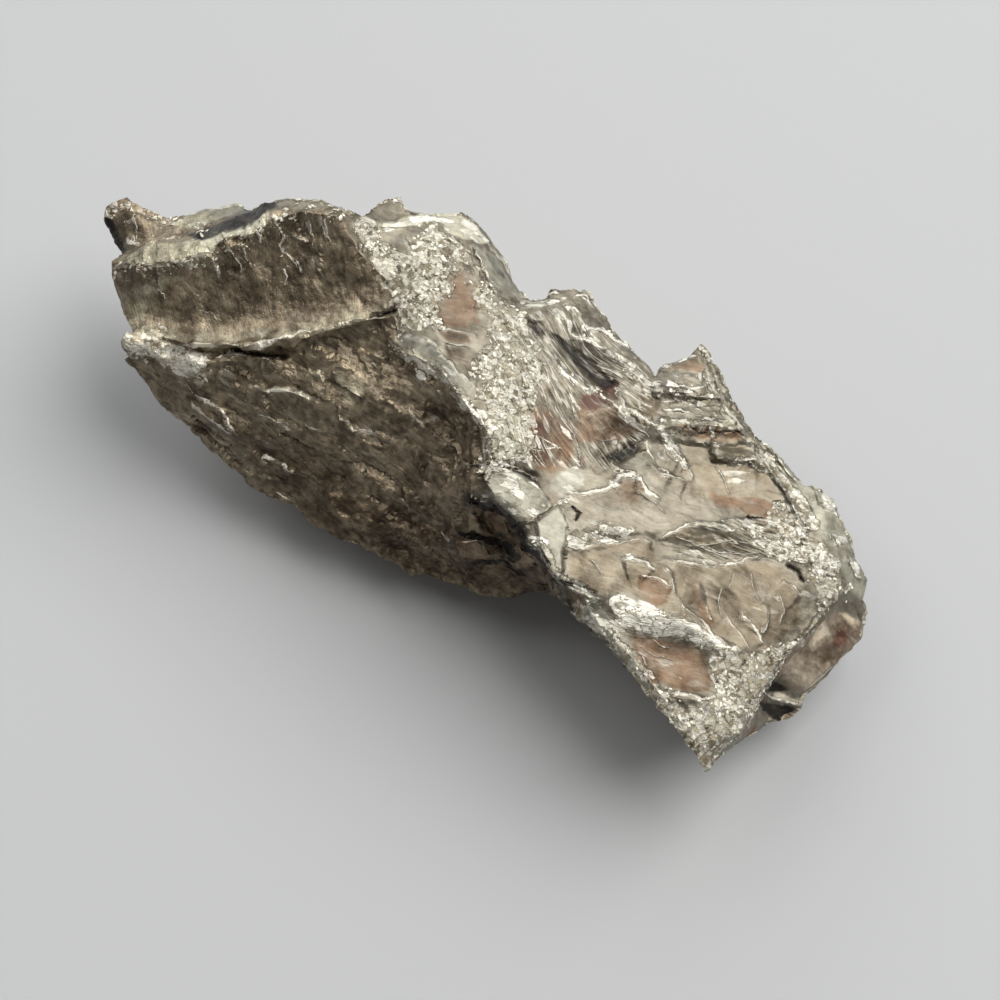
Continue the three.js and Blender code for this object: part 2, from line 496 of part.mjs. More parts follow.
// ---- The stone ----
function stoneGeometry() {
  const rim = walk(outline, RIM_STEP, true);
  const showLines = [spur, scoop, darkWall, mainCrest, crumblyTop, brightFace, rightEnd].flatMap(
    (group) => Object.values(group),
  );
  const edgePoints = [];
  for (const line of showLines) {
    for (const p of walk(line, EDGE_STEP)) {
      if (clearance(p[0], p[1], [...rim, ...edgePoints]) > EDGE_STEP * 0.4) edgePoints.push(p);
    }
  }
  const face = sheet(rim, edgePoints, FACE_STEP);

  const restRing = walk(restFacet, UNDER_STEP, true).map(([px, py], i) => {
    const x = px + (hash(i, 1, 5) - 0.5) * REST_WAVER;
    const y = py + (hash(i, 2, 5) - 0.5) * REST_WAVER;
    return [x, y, restPlane(y)];
  });
  const under = sheet(rim, [...restRing, ...lowWall, ...highWall], UNDER_STEP, restRing);

  // both sheets begin with the same rim points, so the underside reuses those of the face
  const faceTriangles = splitCrossings(face, rim.length, THIN_EDGE);
  const underTriangles = splitCrossings(under, rim.length, -THIN_EDGE);
  const shift = face.points.length - rim.length;
  const points = [...face.points, ...under.points.slice(rim.length)].map((p) => [...p]);
  const turned = underTriangles.map((t) => t.map((i) => (i < rim.length ? i : i + shift)).reverse());
  const triangles = splitLongSides(points, [...faceTriangles, ...turned], LONGEST_EDGE);
  const underside = underVertices(points, triangles);
  evenOut(points, triangles, underside, EVENING_ROUNDS);
  roughen(points, triangles, underside);

  const geometry = new THREE.BufferGeometry();
  geometry.setAttribute('position', new THREE.Float32BufferAttribute(points.flat(), 3));
  geometry.setIndex(triangles.flat());
  geometry.computeVertexNormals();
  return geometry;
}

const shungite = new THREE.MeshStandardMaterial({ color: 0x8f8576, roughness: 0.38, metalness: 0.55 });
const stone = new THREE.Mesh(stoneGeometry(), shungite);
stone.name = 'shungite_stone';
stone.rotation.x = lean;

// the origin is at the middle of the bounding box's underside
const part = new THREE.Group();
part.add(stone);
part.updateMatrixWorld(true);
const box = new THREE.Box3().setFromObject(stone, true);
stone.position.set(-(box.min.x + box.max.x) / 2, -(box.min.y + box.max.y) / 2, -box.min.z);

export default part;
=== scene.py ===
# %% [markdown]
# # A piece of elite shungite
# Elite shungite is almost pure carbon. It breaks like glass, so it has no grain of its own: every
# face is a scar with ledges, hackle lines and crumbs, and each one shines like dull silver.
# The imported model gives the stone's size and its main faces. This lesson keeps that shape, cuts it
# into a much finer mesh, carves the small scars with numpy, grows crumbs on the broken edges with
# Geometry Nodes, and paints it with node materials.

import json
import math

import bpy
import numpy as np
from mathutils import Matrix, Vector

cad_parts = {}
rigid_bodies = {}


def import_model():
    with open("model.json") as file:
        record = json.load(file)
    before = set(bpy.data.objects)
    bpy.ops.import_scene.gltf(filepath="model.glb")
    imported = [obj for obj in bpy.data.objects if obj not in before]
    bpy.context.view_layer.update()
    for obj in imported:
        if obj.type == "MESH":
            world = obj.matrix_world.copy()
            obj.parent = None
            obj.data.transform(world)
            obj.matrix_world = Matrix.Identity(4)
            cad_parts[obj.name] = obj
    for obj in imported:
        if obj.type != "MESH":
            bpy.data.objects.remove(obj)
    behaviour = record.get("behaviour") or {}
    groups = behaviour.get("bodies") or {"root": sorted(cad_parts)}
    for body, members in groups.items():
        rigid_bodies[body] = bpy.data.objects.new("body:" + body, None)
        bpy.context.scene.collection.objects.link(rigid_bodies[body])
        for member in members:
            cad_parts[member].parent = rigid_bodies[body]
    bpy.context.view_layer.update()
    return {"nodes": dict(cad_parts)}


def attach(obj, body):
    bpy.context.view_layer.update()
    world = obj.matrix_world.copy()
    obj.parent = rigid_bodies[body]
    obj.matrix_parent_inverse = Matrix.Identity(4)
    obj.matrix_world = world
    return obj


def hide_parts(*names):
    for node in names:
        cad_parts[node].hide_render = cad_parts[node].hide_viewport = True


for leftover in list(bpy.data.objects):
    bpy.data.objects.remove(leftover)

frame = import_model()

STONE = frame["nodes"]["shungite_stone"]

# %% [markdown]
# ## Two frames
# The stone lies leaned back on its rest facet. Its scars are easier to place on the show face seen
# straight on, so all the carving happens in a face-up frame in millimetres: x to the right, y to
# the top, z out of the face. A turn about X and a shift carry it back to the row's frame.

# %% The face-up frame
LEAN = math.radians(18)
FACE_ORIGIN = Vector((1.19, 2.032, 0.0))  # of the face-up frame, in the row's frame, millimetres
TURN = Matrix.Rotation(LEAN, 3, "X")


def to_face(points):
    """Row frame in metres to face-up frame in millimetres."""
    return (points * 1000 - np.array(FACE_ORIGIN)) @ np.array(TURN)


def to_row(points):
    """Face-up frame in millimetres to row frame in metres."""
    return (points @ np.array(TURN).T + np.array(FACE_ORIGIN)) / 1000


print("show face leaned back by", round(math.degrees(LEAN)), "degrees")

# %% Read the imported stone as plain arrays
def read_mesh(obj):
    """Vertices (face-up, mm) and triangles of a CAD node, with its loose triangles joined up."""
    mesh = obj.data
    points = np.empty(len(mesh.vertices) * 3)
    mesh.vertices.foreach_get("co", points)
    mesh.calc_loop_triangles()
    corners = np.empty(len(mesh.loop_triangles) * 3, dtype=np.int64)
    mesh.loop_triangles.foreach_get("vertices", corners)
    points = points.reshape(-1, 3)
    _, first, where = np.unique(np.round(points * 1e7), axis=0, return_index=True, return_inverse=True)
    triangles = where.reshape(-1)[corners].reshape(-1, 3)
    return to_face(points[first]), triangles


points, triangles = read_mesh(STONE)
print(len(points), "vertices and", len(triangles), "triangles in the packed stone")

# %% [markdown]
# ## A finer mesh
# Carving needs a vertex every quarter of a millimetre where the scars are, but far fewer
# underneath. A subdivision modifier would split everything alike. Splitting only the sides that are
# too long for their place keeps the stone light: each triangle is cut into two, three or four. The
# bright face, which carries the finest scars, gets the shortest sides.

# %% How fine each part of the stone is
BRIGHT_EDGE = 0.225  # millimetres, the longest side of a triangle on the bright face
DARK_EDGE = 0.33  # in the scoop and on the dark wall
UNDER_EDGE = 0.85  # underneath
DARK_SIDE = [
    (-31, 24), (-20, 20.6), (-11.4, 20.8), (-10, 17.7), (-8.7, 16.3), (-7.3, 13), (-7.4, 11.2), (-4.2, 9.1),
    (-1.2, 5.3), (-0.6, 4), (-0.8, 2.6), (-2.1, 0), (1.2, -1.8), (2.2, -3.8), (4.2, -6.2), (3.5, -9),
    (-31, -9),
]


def inside(polygon, xy):
    """Which points lie inside a closed outline."""
    polygon = np.array(polygon, dtype=float)
    found = np.zeros(len(xy), dtype=bool)
    for a, b in zip(polygon, np.roll(polygon, -1, axis=0)):
        crosses = (a[1] > xy[:, 1]) != (b[1] > xy[:, 1])
        at = a[0] + (xy[:, 1] - a[1]) / (b[1] - a[1] + 1e-12) * (b[0] - a[0])
        found ^= crosses & (xy[:, 0] < at)
    return found


print("triangle sides up to", BRIGHT_EDGE, DARK_EDGE, UNDER_EDGE, "mm")

# %% Split the sides that are too long
FACES_UP = 0.02  # a triangle belongs to the show face when its normal's z is above this


def corner_normals(p, t):
    """Unit normal and area of each triangle."""
    cross = np.cross(p[t[:, 1]] - p[t[:, 0]], p[t[:, 2]] - p[t[:, 0]])
    area = np.linalg.norm(cross, axis=1)
    return cross / np.maximum(area, 1e-12)[:, None], area / 2


def refine(p, t, limit):
    """Splits sides until none is longer than the shorter limit of its two ends."""
    while True:
        sides = np.sort(np.stack([t, np.roll(t, -1, axis=1)], axis=2).reshape(-1, 2), axis=1)
        edges, which = np.unique(sides, axis=0, return_inverse=True)
        a, b = edges.T
        long = np.linalg.norm(p[a] - p[b], axis=1) > np.minimum(limit[a], limit[b])
        if not long.any():
            return p, t, limit
        middle = np.full(len(edges), -1)
        middle[long] = len(p) + np.arange(long.sum())
        p = np.vstack([p, (p[a[long]] + p[b[long]]) / 2])
        limit = np.concatenate([limit, np.maximum(limit[a[long]], limit[b[long]])])
        t = cut(t, middle[which.reshape(-1)].reshape(-1, 3))


def cut(t, m):
    """Cuts triangles at the middles (m, -1 for none) of their sides."""
    count = (m >= 0).sum(axis=1)
    lead = np.where(count == 1, (m >= 0).argmax(axis=1), (m < 0).argmax(axis=1))
    turn = (lead[:, None] + np.arange(3)) % 3
    t = np.take_along_axis(t, turn, axis=1)
    m = np.take_along_axis(m, turn, axis=1)
    a, b, c = t.T
    ab, bc, ca = m.T
    one, two, three = count == 1, count == 2, count == 3
    parts = [
        t[count == 0],
        np.stack([a, ab, c], 1)[one], np.stack([ab, b, c], 1)[one],
        np.stack([a, b, bc], 1)[two], np.stack([a, bc, ca], 1)[two], np.stack([ca, bc, c], 1)[two],
        np.stack([a, ab, ca], 1)[three], np.stack([ab, b, bc], 1)[three],
        np.stack([ca, bc, c], 1)[three], np.stack([ab, bc, ca], 1)[three],
    ]
    return np.vstack(parts)


facing, _ = corner_normals(points, triangles)
edge_limit = np.full(len(points), UNDER_EDGE)
seen = np.unique(triangles[facing[:, 2] > FACES_UP])
edge_limit[seen] = np.where(inside(DARK_SIDE, points[seen, :2]), DARK_EDGE, BRIGHT_EDGE)
points, triangles, edge_limit = refine(points, triangles, edge_limit)
shown = (edge_limit < UNDER_EDGE).astype(float)
print(len(points), "vertices and", len(triangles), "triangles after splitting")


# %% [markdown]
# ## Where the stone really breaks
# The crests, lips and steps are sharp and must stay so, while the faces between them should lose
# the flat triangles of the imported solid. So each real break is named here as a short line on the
# show face. The same lines later tell where the crumbs and the bright worn edges go.

# %% The real breaks of the show face
BREAKS = {
    "scoop_top": [
        (-28, 16.8), (-24.1, 16.8), (-21.5, 17.3), (-17.7, 18.7), (-16.5, 19.7), (-14.2, 20.5),
        (-11.5, 20.3),
    ],
    "scoop_right": [(-11.3, 20.5), (-10.1, 17.7), (-8.7, 16.3), (-7.7, 15.3), (-7.3, 13)],
    "scoop_lip": [
        (-26.4, 12.3), (-22.7, 11.3), (-20.5, 11.2), (-18.5, 11.1), (-13.9, 11.6), (-9.1, 12.9),
        (-7.3, 13),
    ],
    "west_crest": [(-27.3, 11.5), (-24.2, 11.4), (-21.4, 9.7), (-19.5, 10.1), (-15.9, 9.7)],
    "main_crest": [
        (-7.3, 13), (-7.4, 11.2), (-6, 10.2), (-4.2, 9.1), (-2.5, 6.9), (-1.2, 5.3), (-0.6, 4), (-0.8, 2.6),
        (-2, 0.8), (-2.1, 0), (-0.2, -0.6), (1.2, -1.8), (1.5, -2.8), (2.9, -3.3), (3.9, -5.5), (7.1, -7),
    ],
    "crest_foot": [
        (-7.9, 10.6), (-6.3, 9.2), (-4.7, 7.6), (-2.8, 5.7), (-1, 4.2), (-1.6, 2.3), (-2.6, 1.1),
    ],
    "near_edge": [(4.9, -7.2), (9.1, -10.9), (12.3, -14.9), (14.4, -18.6)],
    "right_step": [(24.2, -7.2), (22.9, -8.8), (20, -11.1), (18.6, -13.5), (16.8, -16.5)],
    "back_rail": [(15.2, 9.2), (17.6, 5.1), (21.4, 0.6), (22.7, -1.7)],
    "spur_ridge": [(-27.0, 21.4), (-26.6, 20.2), (-26.1, 18.7)],
    "spur_crest": [(-25.7, 21.1), (-23.4, 20.4), (-21.6, 19.7)],
    "spur_foot": [(-27.7, 18.2), (-24.8, 18.6), (-22.0, 19.3)],
    "fin": [(11.9, 9.9), (14.7, 11.5), (15.3, 10.5)],
    "shelf_1": [(11.3, 7.8), (13.8, 7.5), (16, 7.4)],
    "shelf_2": [(11.5, 5.2), (14.9, 5.4), (17.5, 5.2)],
    "shelf_3": [(15.3, 4.2), (16.1, 3.2), (19.2, 2.7)],
}


def near_line(line, xy, reach):
    """The vertices within reach of a line: index, distance, side (left is +1), place along (0 to 1)."""
    line = np.array(line, dtype=float)
    low, high = line.min(axis=0) - reach, line.max(axis=0) + reach
    index = np.flatnonzero(((xy > low) & (xy < high)).all(axis=1))
    near = np.full(len(index), np.inf)
    side = np.ones(len(index))
    place = np.zeros(len(index))
    lengths = np.linalg.norm(np.diff(line, axis=0), axis=1)
    starts = np.concatenate([[0], np.cumsum(lengths)])
    for k, (a, b) in enumerate(zip(line[:-1], line[1:])):
        along = (b - a) / lengths[k]
        offset = xy[index] - a
        run = np.clip(offset @ along, 0, lengths[k])
        gap = offset - run[:, None] * along
        distance = np.linalg.norm(gap, axis=1)
        closer = distance < near
        near[closer] = distance[closer]
        side[closer] = np.sign(along[0] * offset[closer, 1] - along[1] * offset[closer, 0])
        place[closer] = (starts[k] + run[closer]) / starts[-1]
    keep = near < reach
    return index[keep], near[keep], side[keep], place[keep]


print(len(BREAKS), "breaks named")

# %% Smooth the faces, keep the breaks
def side_pairs(t):
    """Every side of the triangles once, as two arrays of vertex numbers."""
    sides = np.sort(np.stack([t, np.roll(t, -1, axis=1)], axis=2).reshape(-1, 2), axis=1)
    return np.unique(sides, axis=0).T


def blur(values, pairs, amount, rounds):
    """Draws each vertex's values towards its neighbours' mean."""
    a, b = pairs
    n = len(values)
    degree = np.bincount(a, minlength=n) + np.bincount(b, minlength=n)
    values = values.reshape(n, -1).copy()
    amount = np.broadcast_to(np.asarray(amount, dtype=float), (n,))[:, None]
    for _ in range(rounds):
        total = np.stack(
            [np.bincount(a, c[b], n) + np.bincount(b, c[a], n) for c in values.T], axis=1
        )
        values += amount * (total / degree[:, None] - values)
    return values.squeeze()


SMOOTHING = 0.55  # how far each round draws a vertex towards its neighbours
ROUNDS = 30
KEPT_WIDTH = 0.4  # millimetres from a break over which its sharpness fades
ON_PLANE = 1e-3  # millimetres; nearer the rest plane than this counts as on it

pairs = side_pairs(triangles)
facing, _ = corner_normals(points, triangles)
up = np.zeros(len(points), dtype=bool)
down = np.zeros(len(points), dtype=bool)
up[triangles[facing[:, 2] > FACES_UP]] = True
down[triangles[facing[:, 2] <= FACES_UP]] = True
rim = (up & down & (shown > 0.5)).astype(float)
rim_zone = np.clip(blur(rim, pairs, 0.5, 6) * 4, 0, 1)

keep_sharp = rim_zone.copy()
for line in BREAKS.values():
    index, distance, _, _ = near_line(line, points[:, :2], 2 * KEPT_WIDTH)
    keep_sharp[index] = np.maximum(keep_sharp[index], np.exp(-((distance / KEPT_WIDTH) ** 2)))
on_rest = np.abs(points[:, 2] + math.tan(LEAN) * points[:, 1]) < ON_PLANE
keep_sharp[on_rest] = 1
points = blur(points, pairs, SMOOTHING * (1 - keep_sharp), ROUNDS)
print("faces smoothed, rim vertices:", int(rim.sum()))

# %% [markdown]
# ## Noise that breaks like stone
# Three kinds of randomness do most of the carving, all seeded so that every run gives the same
# stone: soft noise for gentle waves, shards (tilted flat cells) for crumbly breaks, and shells (a
# saw-tooth along one direction, bent by soft noise) for the stepped breaks of glassy carbon.


# %% Seeded noise
def hashed(i, j, k, seed):
    """Repeatable value from 0 to 1 for whole-number cells."""
    h = (i * 374761393 + j * 668265263 + k * 1274126177 + seed * 974711) & 0xFFFFFFFF
    h = ((h ^ (h >> 13)) * 1103515245) & 0xFFFFFFFF
    h = ((h ^ (h >> 15)) * 668265263) & 0xFFFFFFFF
    return ((h ^ (h >> 16)) & 0xFFFFFF) / 0x1000000


def smooth_step(x):
    """0 below 0, 1 above 1 and an even S between."""
    x = np.clip(x, 0, 1)
    return x * x * (3 - 2 * x)


def soft_noise(p, size, seed):
    """Smooth noise from -1 to 1."""
    q = p / size
    cell = np.floor(q).astype(np.int64)
    f = q - cell
    f = f * f * (3 - 2 * f)
    total = 0.0
    for corner in range(8):
        dx, dy, dz = corner & 1, (corner >> 1) & 1, corner >> 2
        weight = (
            (f[:, 0] if dx else 1 - f[:, 0])
            * (f[:, 1] if dy else 1 - f[:, 1])
            * (f[:, 2] if dz else 1 - f[:, 2])
        )
        total = total + weight * hashed(cell[:, 0] + dx, cell[:, 1] + dy, cell[:, 2] + dz, seed)
    return total * 2 - 1


def waves(p, size, octaves, seed, falloff=0.5):
    """Several octaves of soft noise, about -1 to 1."""
    total, strength = 0.0, 1.0
    for octave in range(octaves):
        total = total + strength * soft_noise(p + 31.7 * octave, size / 2**octave, seed + octave)
        strength *= falloff
    return total


def shards(p, size, seed):
    """The height of flat tilted cells, about -1 to 1."""
    q = p / size
    cell = np.floor(q).astype(np.int64)
    best = np.full(len(p), np.inf)
    height = np.zeros(len(p))
    for step in np.ndindex(3, 3, 3):
        c = cell + (np.array(step) - 1)
        seeds = [hashed(c[:, 0], c[:, 1], c[:, 2], seed + s) for s in range(3)]
        gap = q - c - np.stack(seeds, axis=1)
        distance = (gap**2).sum(axis=1)
        tilt = [hashed(c[:, 0], c[:, 1], c[:, 2], seed + s) - 0.5 for s in range(3, 7)]
        plane = 1.1 * tilt[0] + 1.9 * (tilt[1] * gap[:, 0] + tilt[2] * gap[:, 1] + tilt[3] * gap[:, 2])
        closer = distance < best
        best = np.where(closer, distance, best)
        height = np.where(closer, plane, height)
    return height


def turned(xy, degrees, stretch):
    """xy turned so that the first axis runs along the given direction, which is also stretched."""
    a = math.radians(degrees)
    u = xy[:, 0] * math.cos(a) + xy[:, 1] * math.sin(a)
    v = -xy[:, 0] * math.sin(a) + xy[:, 1] * math.cos(a)
    return np.stack([u / stretch, v, np.zeros(len(xy))], axis=1)


def shells(p, degrees, spacing, bend, seed, sharp=0.14):
    """The height, 0 to 1, of thin broken shells that climb across the given direction.

    Each shell drops at its edge, over the share sharp of its width. Edges bend, come and go.
    """
    across = turned(p[:, :2], degrees, 1.0)[:, 1]
    climb = (across + bend * waves(p, 7.0, 4, seed)) / spacing
    number = np.floor(climb)
    tooth = climb - number
    cell = number.astype(np.int64)
    tall = 0.35 + 0.65 * hashed(cell, 0 * cell, 0 * cell, seed + 9)
    fade = smooth_step(0.55 + 1.1 * waves(p, 3.2, 2, seed + 5))
    profile = np.where(tooth < 1 - sharp, tooth / (1 - sharp), (1 - tooth) / sharp)
    return profile * tall * fade


print("noise ready")

# %% [markdown]
# ## Tools for carving
# Four cuts make nearly every scar: a step (one side of a line stands higher, as where a flake
# broke away), a groove, a rail and a plate. Each is pushed straight out of the show face, with its
# line wandering a little so that nothing looks drawn with a ruler. The highlight painted on a
# ledge's edge is far thinner than a triangle, so it isn't painted on the vertices. Instead each
# vertex keeps its distance to the nearest ledge, thread and crack, and the material draws the thin
# line from that distance. Wider changes of colour are masks on the vertices.

# %% What the tools write to
BRIGHT_TILT = (0.32, 0.29)  # how fast the bright face drops to the right and upwards
LEDGE_ZONE = 0.55  # millimetres on either side of a ledge where its distance is kept
OUTLINE_MARGIN = 2.5  # millimetres outside a patch's outline that its soft border may reach
DEEPEST = 9.0  # millimetres; no point counts as deeper inside an outline than this
THICKEST_SLAB = 1.6  # millimetres
flat = points[:, :2].copy()
lift = np.zeros(len(points))
# dark mostly paints shadow in hollows, gaps and under edges; shade darkens, mostly as painted shade; the
# pale, cream and frost masks also carry painted sheen, highlights and glints
MASKS = ("rust", "red", "dark", "pale_and_sheen", "cream", "frost_and_glint", "brown", "strand", "shade", "rose")
masks = {name: np.zeros(len(points)) for name in MASKS}
gaps = {name: np.ones(len(points)) for name in ("ledge", "thread", "crack")}
nears = {name: np.zeros(len(points)) for name in gaps}
halves = {name: np.zeros(len(points)) for name in ("thread", "crack")}
wander = np.column_stack([waves(points, 3.0, 2, 11), waves(points, 3.0, 2, 12)]) * 0.14
wander += np.column_stack([waves(points, 0.8, 1, 15), waves(points, 0.8, 1, 16)]) * 0.07
jogs = np.column_stack([shards(points, 0.9, 17), shards(points, 0.9, 18)])
wander += 0.11 * jogs
carve_at = flat + wander
print("lines wander by up to", round(np.abs(wander).max(), 2), "mm")


# %% Tools that follow a line
def mark(name, index, strength):
    """Raises a mask to at least the given strength."""
    masks[name][index] = np.maximum(masks[name][index], strength)


def tapered(place, share):
    """1 along a line and 0 at both its ends."""
    return smooth_step(np.minimum(place, 1 - place) / share)


def step(line, rise, reach=1.5, edge_highlight=0.0, soft=0.2):
    """Left side up by rise, back down over reach; the fourth argument paints a highlight on its edge."""
    index, distance, side, place = near_line(line, carve_at, 2.4 * reach)
    ends = tapered(place, 0.12)
    signed = distance * side
    height = smooth_step(signed / soft + 0.5) * np.exp(-((np.maximum(signed, 0) / reach) ** 2))
    lift[index] += rise * ends * height * shown[index]
    keep_nearest("ledge", index, signed, edge_highlight * ends * (1 - smooth_step(distance / LEDGE_ZONE)))


def keep_nearest(name, index, signed, near):
    """Keeps the signed distance of whichever line is nearest; returns which vertices took it."""
    closer = near > nears[name][index]
    nears[name][index[closer]] = near[closer]
    gaps[name][index[closer]] = signed[closer]
    return closer


def line_gap(name, line, width, share=0.15):
    """Keeps the distance to a line and its half width; returns what is near it and its profile."""
    index, distance, side, place = near_line(line, carve_at, max(3 * width, 1.0))
    ends = tapered(place, share)
    near = ends * (1 - smooth_step(distance / (0.5 * width + LEDGE_ZONE)))
    closer = keep_nearest(name, index, distance * side, near)
    halves[name][index[closer]] = 0.5 * width * ends[closer]
    return index, np.exp(-((distance / width) ** 2)) * ends * shown[index]


def groove(line, depth, width=0.3):
    """A crack along the line: a groove, drawn dark as painted shadow."""
    index, profile = line_gap("crack", line, width)
    lift[index] -= depth * profile


def rail(line, height, width=0.3):
    """A thin raised line whose top gets a painted highlight."""
    index, profile = line_gap("thread", line, width)
    lift[index] += height * profile


def threads(width, *highlight_lines):
    """Hair-thin raised lines that a painted highlight picks out."""
    for line in highlight_lines:
        rail(line, 0.4 * width, width)


def mark_line(line, name, strength, width):
    """Colours a band along a line, fading over its width."""
    index, distance, _, _ = near_line(line, carve_at, 2 * width)
    mark(name, index, strength * np.exp(-((distance / width) ** 2)) * shown[index])


# %% Tools that fill an outline
def depth_in(corners, xy):
    """Which points are near a closed outline, and how far inside it each lies (negative outside)."""
    closed = list(corners) + [corners[0]]
    low = np.array(corners, dtype=float).min(axis=0) - OUTLINE_MARGIN
    high = np.array(corners, dtype=float).max(axis=0) + OUTLINE_MARGIN
    index = np.flatnonzero(((xy > low) & (xy < high)).all(axis=1))
    near, distance, _, _ = near_line(closed, xy[index], DEEPEST)
    gap = np.full(len(index), DEEPEST)
    gap[near] = distance
    return index, np.where(inside(corners, xy[index]), gap, -gap)


def plate(corners, rise, soft=0.25):
    """A patch that stands above (or below) its surroundings, with a short slope round it."""
    index, gap = depth_in(corners, carve_at)
    lift[index] += rise * smooth_step(gap / soft + 0.5) * shown[index]


def patch(corners, name, strength, soft=0.8):
    """Colours a patch, fading over soft."""
    index, gap = depth_in(corners, carve_at)
    mark(name, index, strength * smooth_step(gap / soft + 0.5) * shown[index])


def level(corners, anchor, soft=0.3):
    """Lifts a patch onto the bright face's own plane through the anchor, as a slab that stayed behind."""
    index, gap = depth_in(corners, carve_at)
    start = np.argmin(np.hypot(*(flat - anchor).T) + 50 * (shown < 0.5))
    away = points[index] - points[start]
    plane = -(away[:, 0] * BRIGHT_TILT[0] + away[:, 1] * BRIGHT_TILT[1])
    missing = np.clip(plane - away[:, 2], 0, THICKEST_SLAB)
    lift[index] += missing * smooth_step(gap / soft + 0.7) * shown[index]


def report(what):
    """Prints what was carved and how far the cuts reach."""
    print(what + "; deepest and highest cut so far, mm:", round(lift.min(), 2), round(lift.max(), 2))


report("tools ready")

# %% [markdown]
# ## Scars of the scoop, the spur and the dark wall
# The scoop is one shell-shaped break: smooth, with faint ribs that run down it and a lip at the
# bottom that is brightened with a painted sheen. The dark wall below it is a second, flatter scar
# with a few thin ledges that have a highlight painted along their upper edges.

# %% Scoop and spur
step(
    [(-28.2, 16.9), (-24.1, 16.9), (-21.5, 17.5), (-19.8, 18.6), (-17.7, 18.9), (-16.6, 19.9)],
    0.35, 1.6, 0.35,
)
step([(-15.9, 21.0), (-18.6, 19.3), (-21.6, 18.7), (-25.6, 18.2)], 0.25, 0.8, 0.2)
patch(
    [(-22.8, 19.2), (-19.7, 20.3), (-16.3, 21.6), (-15.9, 20.9), (-18.6, 19.4), (-21.6, 18.6)],
    "dark", 0.8, 0.4,
)
rail(
    [
        (-23.6, 11.4), (-21.5, 11.15), (-19.7, 11.25), (-18.0, 11.15), (-16.6, 11.35), (-14.7, 11.75),
        (-12.7, 12.25),
    ],
    0.15, 0.22,
)
rail([(-13.9, 11.9), (-12.7, 12.25), (-11.4, 12.65), (-9.6, 12.95), (-7.8, 13.1)], 0.12, 0.14)
groove([(-20.6, 10.5), (-18.4, 10.85), (-17.0, 10.7), (-15.6, 10.3), (-14.6, 10.4)], 0.35, 0.2)
patch([(-17.2, 10.9), (-15.0, 11.3), (-14.4, 10.6), (-15.4, 10.0)], "shade", 0.9, 0.3)
groove([(-9.6, 12.9), (-8.4, 13.3), (-7.3, 13.5)], 0.4, 0.16)
ICICLES = (
    [(-16.5, 20.4), (-15.7, 19.4), (-15.3, 18.8), (-15.7, 18.2), (-14.4, 16.5)],
    [(-15.0, 19.1), (-14.4, 18.6), (-13.8, 18.3)],
    [(-18.0, 18.9), (-18.3, 17.9), (-18.0, 16.8)],
    [(-19.4, 17.9), (-18.6, 16.9), (-18.6, 15.8)],
    [(-20.7, 17.7), (-20.4, 16.9), (-20.3, 16.2)],
    [(-17.2, 19.2), (-17.0, 18.2)],
    [(-13.7, 19.6), (-13.3, 18.7), (-13.6, 18.1)],
    [(-12.4, 20.0), (-12.3, 19.0), (-11.9, 18.3)],
    [(-22.2, 17.2), (-21.9, 16.6)],
)
for icicle in ICICLES:
    rail(icicle, 0.14, 0.13)
    mark_line(icicle, "frost_and_glint", 0.35, 0.22)
threads(
    0.1,
    [(-22.8, 15.8), (-22.2, 15.3), (-21.7, 14.8), (-21.5, 14.3)],
    [(-21.8, 13.8), (-21.0, 13.6), (-20.4, 13.0)],
    [(-24.8, 15.1), (-24.3, 14.9), (-24.1, 14.6)],
    [(-15.6, 16.6), (-15.2, 15.8), (-15.3, 15.2)],
    [(-13.0, 16.4), (-12.6, 15.6)],
)
rail([(-27.1, 21.3), (-26.8, 20.2), (-26.6, 19.1)], 0.15, 0.1)
rail([(-27.7, 19.2), (-26.9, 19.0), (-26.1, 18.7)], 0.15, 0.3)
rail([(-25.7, 18.7), (-24.5, 19.0), (-23.2, 19.1)], 0.15, 0.16)
# painted shade on the spur's left face
patch([(-29.6, 21.2), (-28.7, 21.0), (-27.4, 18.2), (-28.2, 17.9)], "dark", 0.9, 0.3)
patch([(-29.2, 22.0), (-26.8, 21.6), (-25.6, 19.4), (-28.0, 17.6)], "shade", 0.6, 1.0)
CREST_BAND = [
    (-28.4, 16.9), (-24.1, 16.8), (-21.5, 17.3), (-20, 18.5), (-17.7, 18.8), (-16.5, 19.8), (-16.6, 20.8),
    (-18.6, 19.6), (-20.9, 19.8), (-22.4, 18.8), (-25.4, 18.6), (-27.3, 17.7),
]
# the crest band is pale and cream, partly a painted highlight where it faces up to the light
patch(CREST_BAND, "pale_and_sheen", 0.8, 0.5)
patch(
    [
        (-21.8, 17.2), (-20, 18.5), (-17.7, 18.8), (-16.4, 19.8), (-16.5, 20.9), (-18.6, 19.6),
        (-21.6, 18.7),
    ],
    "cream", 0.9, 0.7,
)
patch([(-24.6, 20.2), (-21.4, 21.6), (-18.0, 21.6), (-19.6, 20.6), (-22.6, 19.6)], "pale_and_sheen", 0.8, 0.6)
# painted sheen on the scoop's left part
patch(
    [(-27.6, 16.1), (-25.2, 16.8), (-22.3, 16.3), (-24.7, 14.5), (-25.8, 12.3), (-27.2, 12.8)],
    "pale_and_sheen", 0.55, 1.8,
)
report("scoop and spur carved")

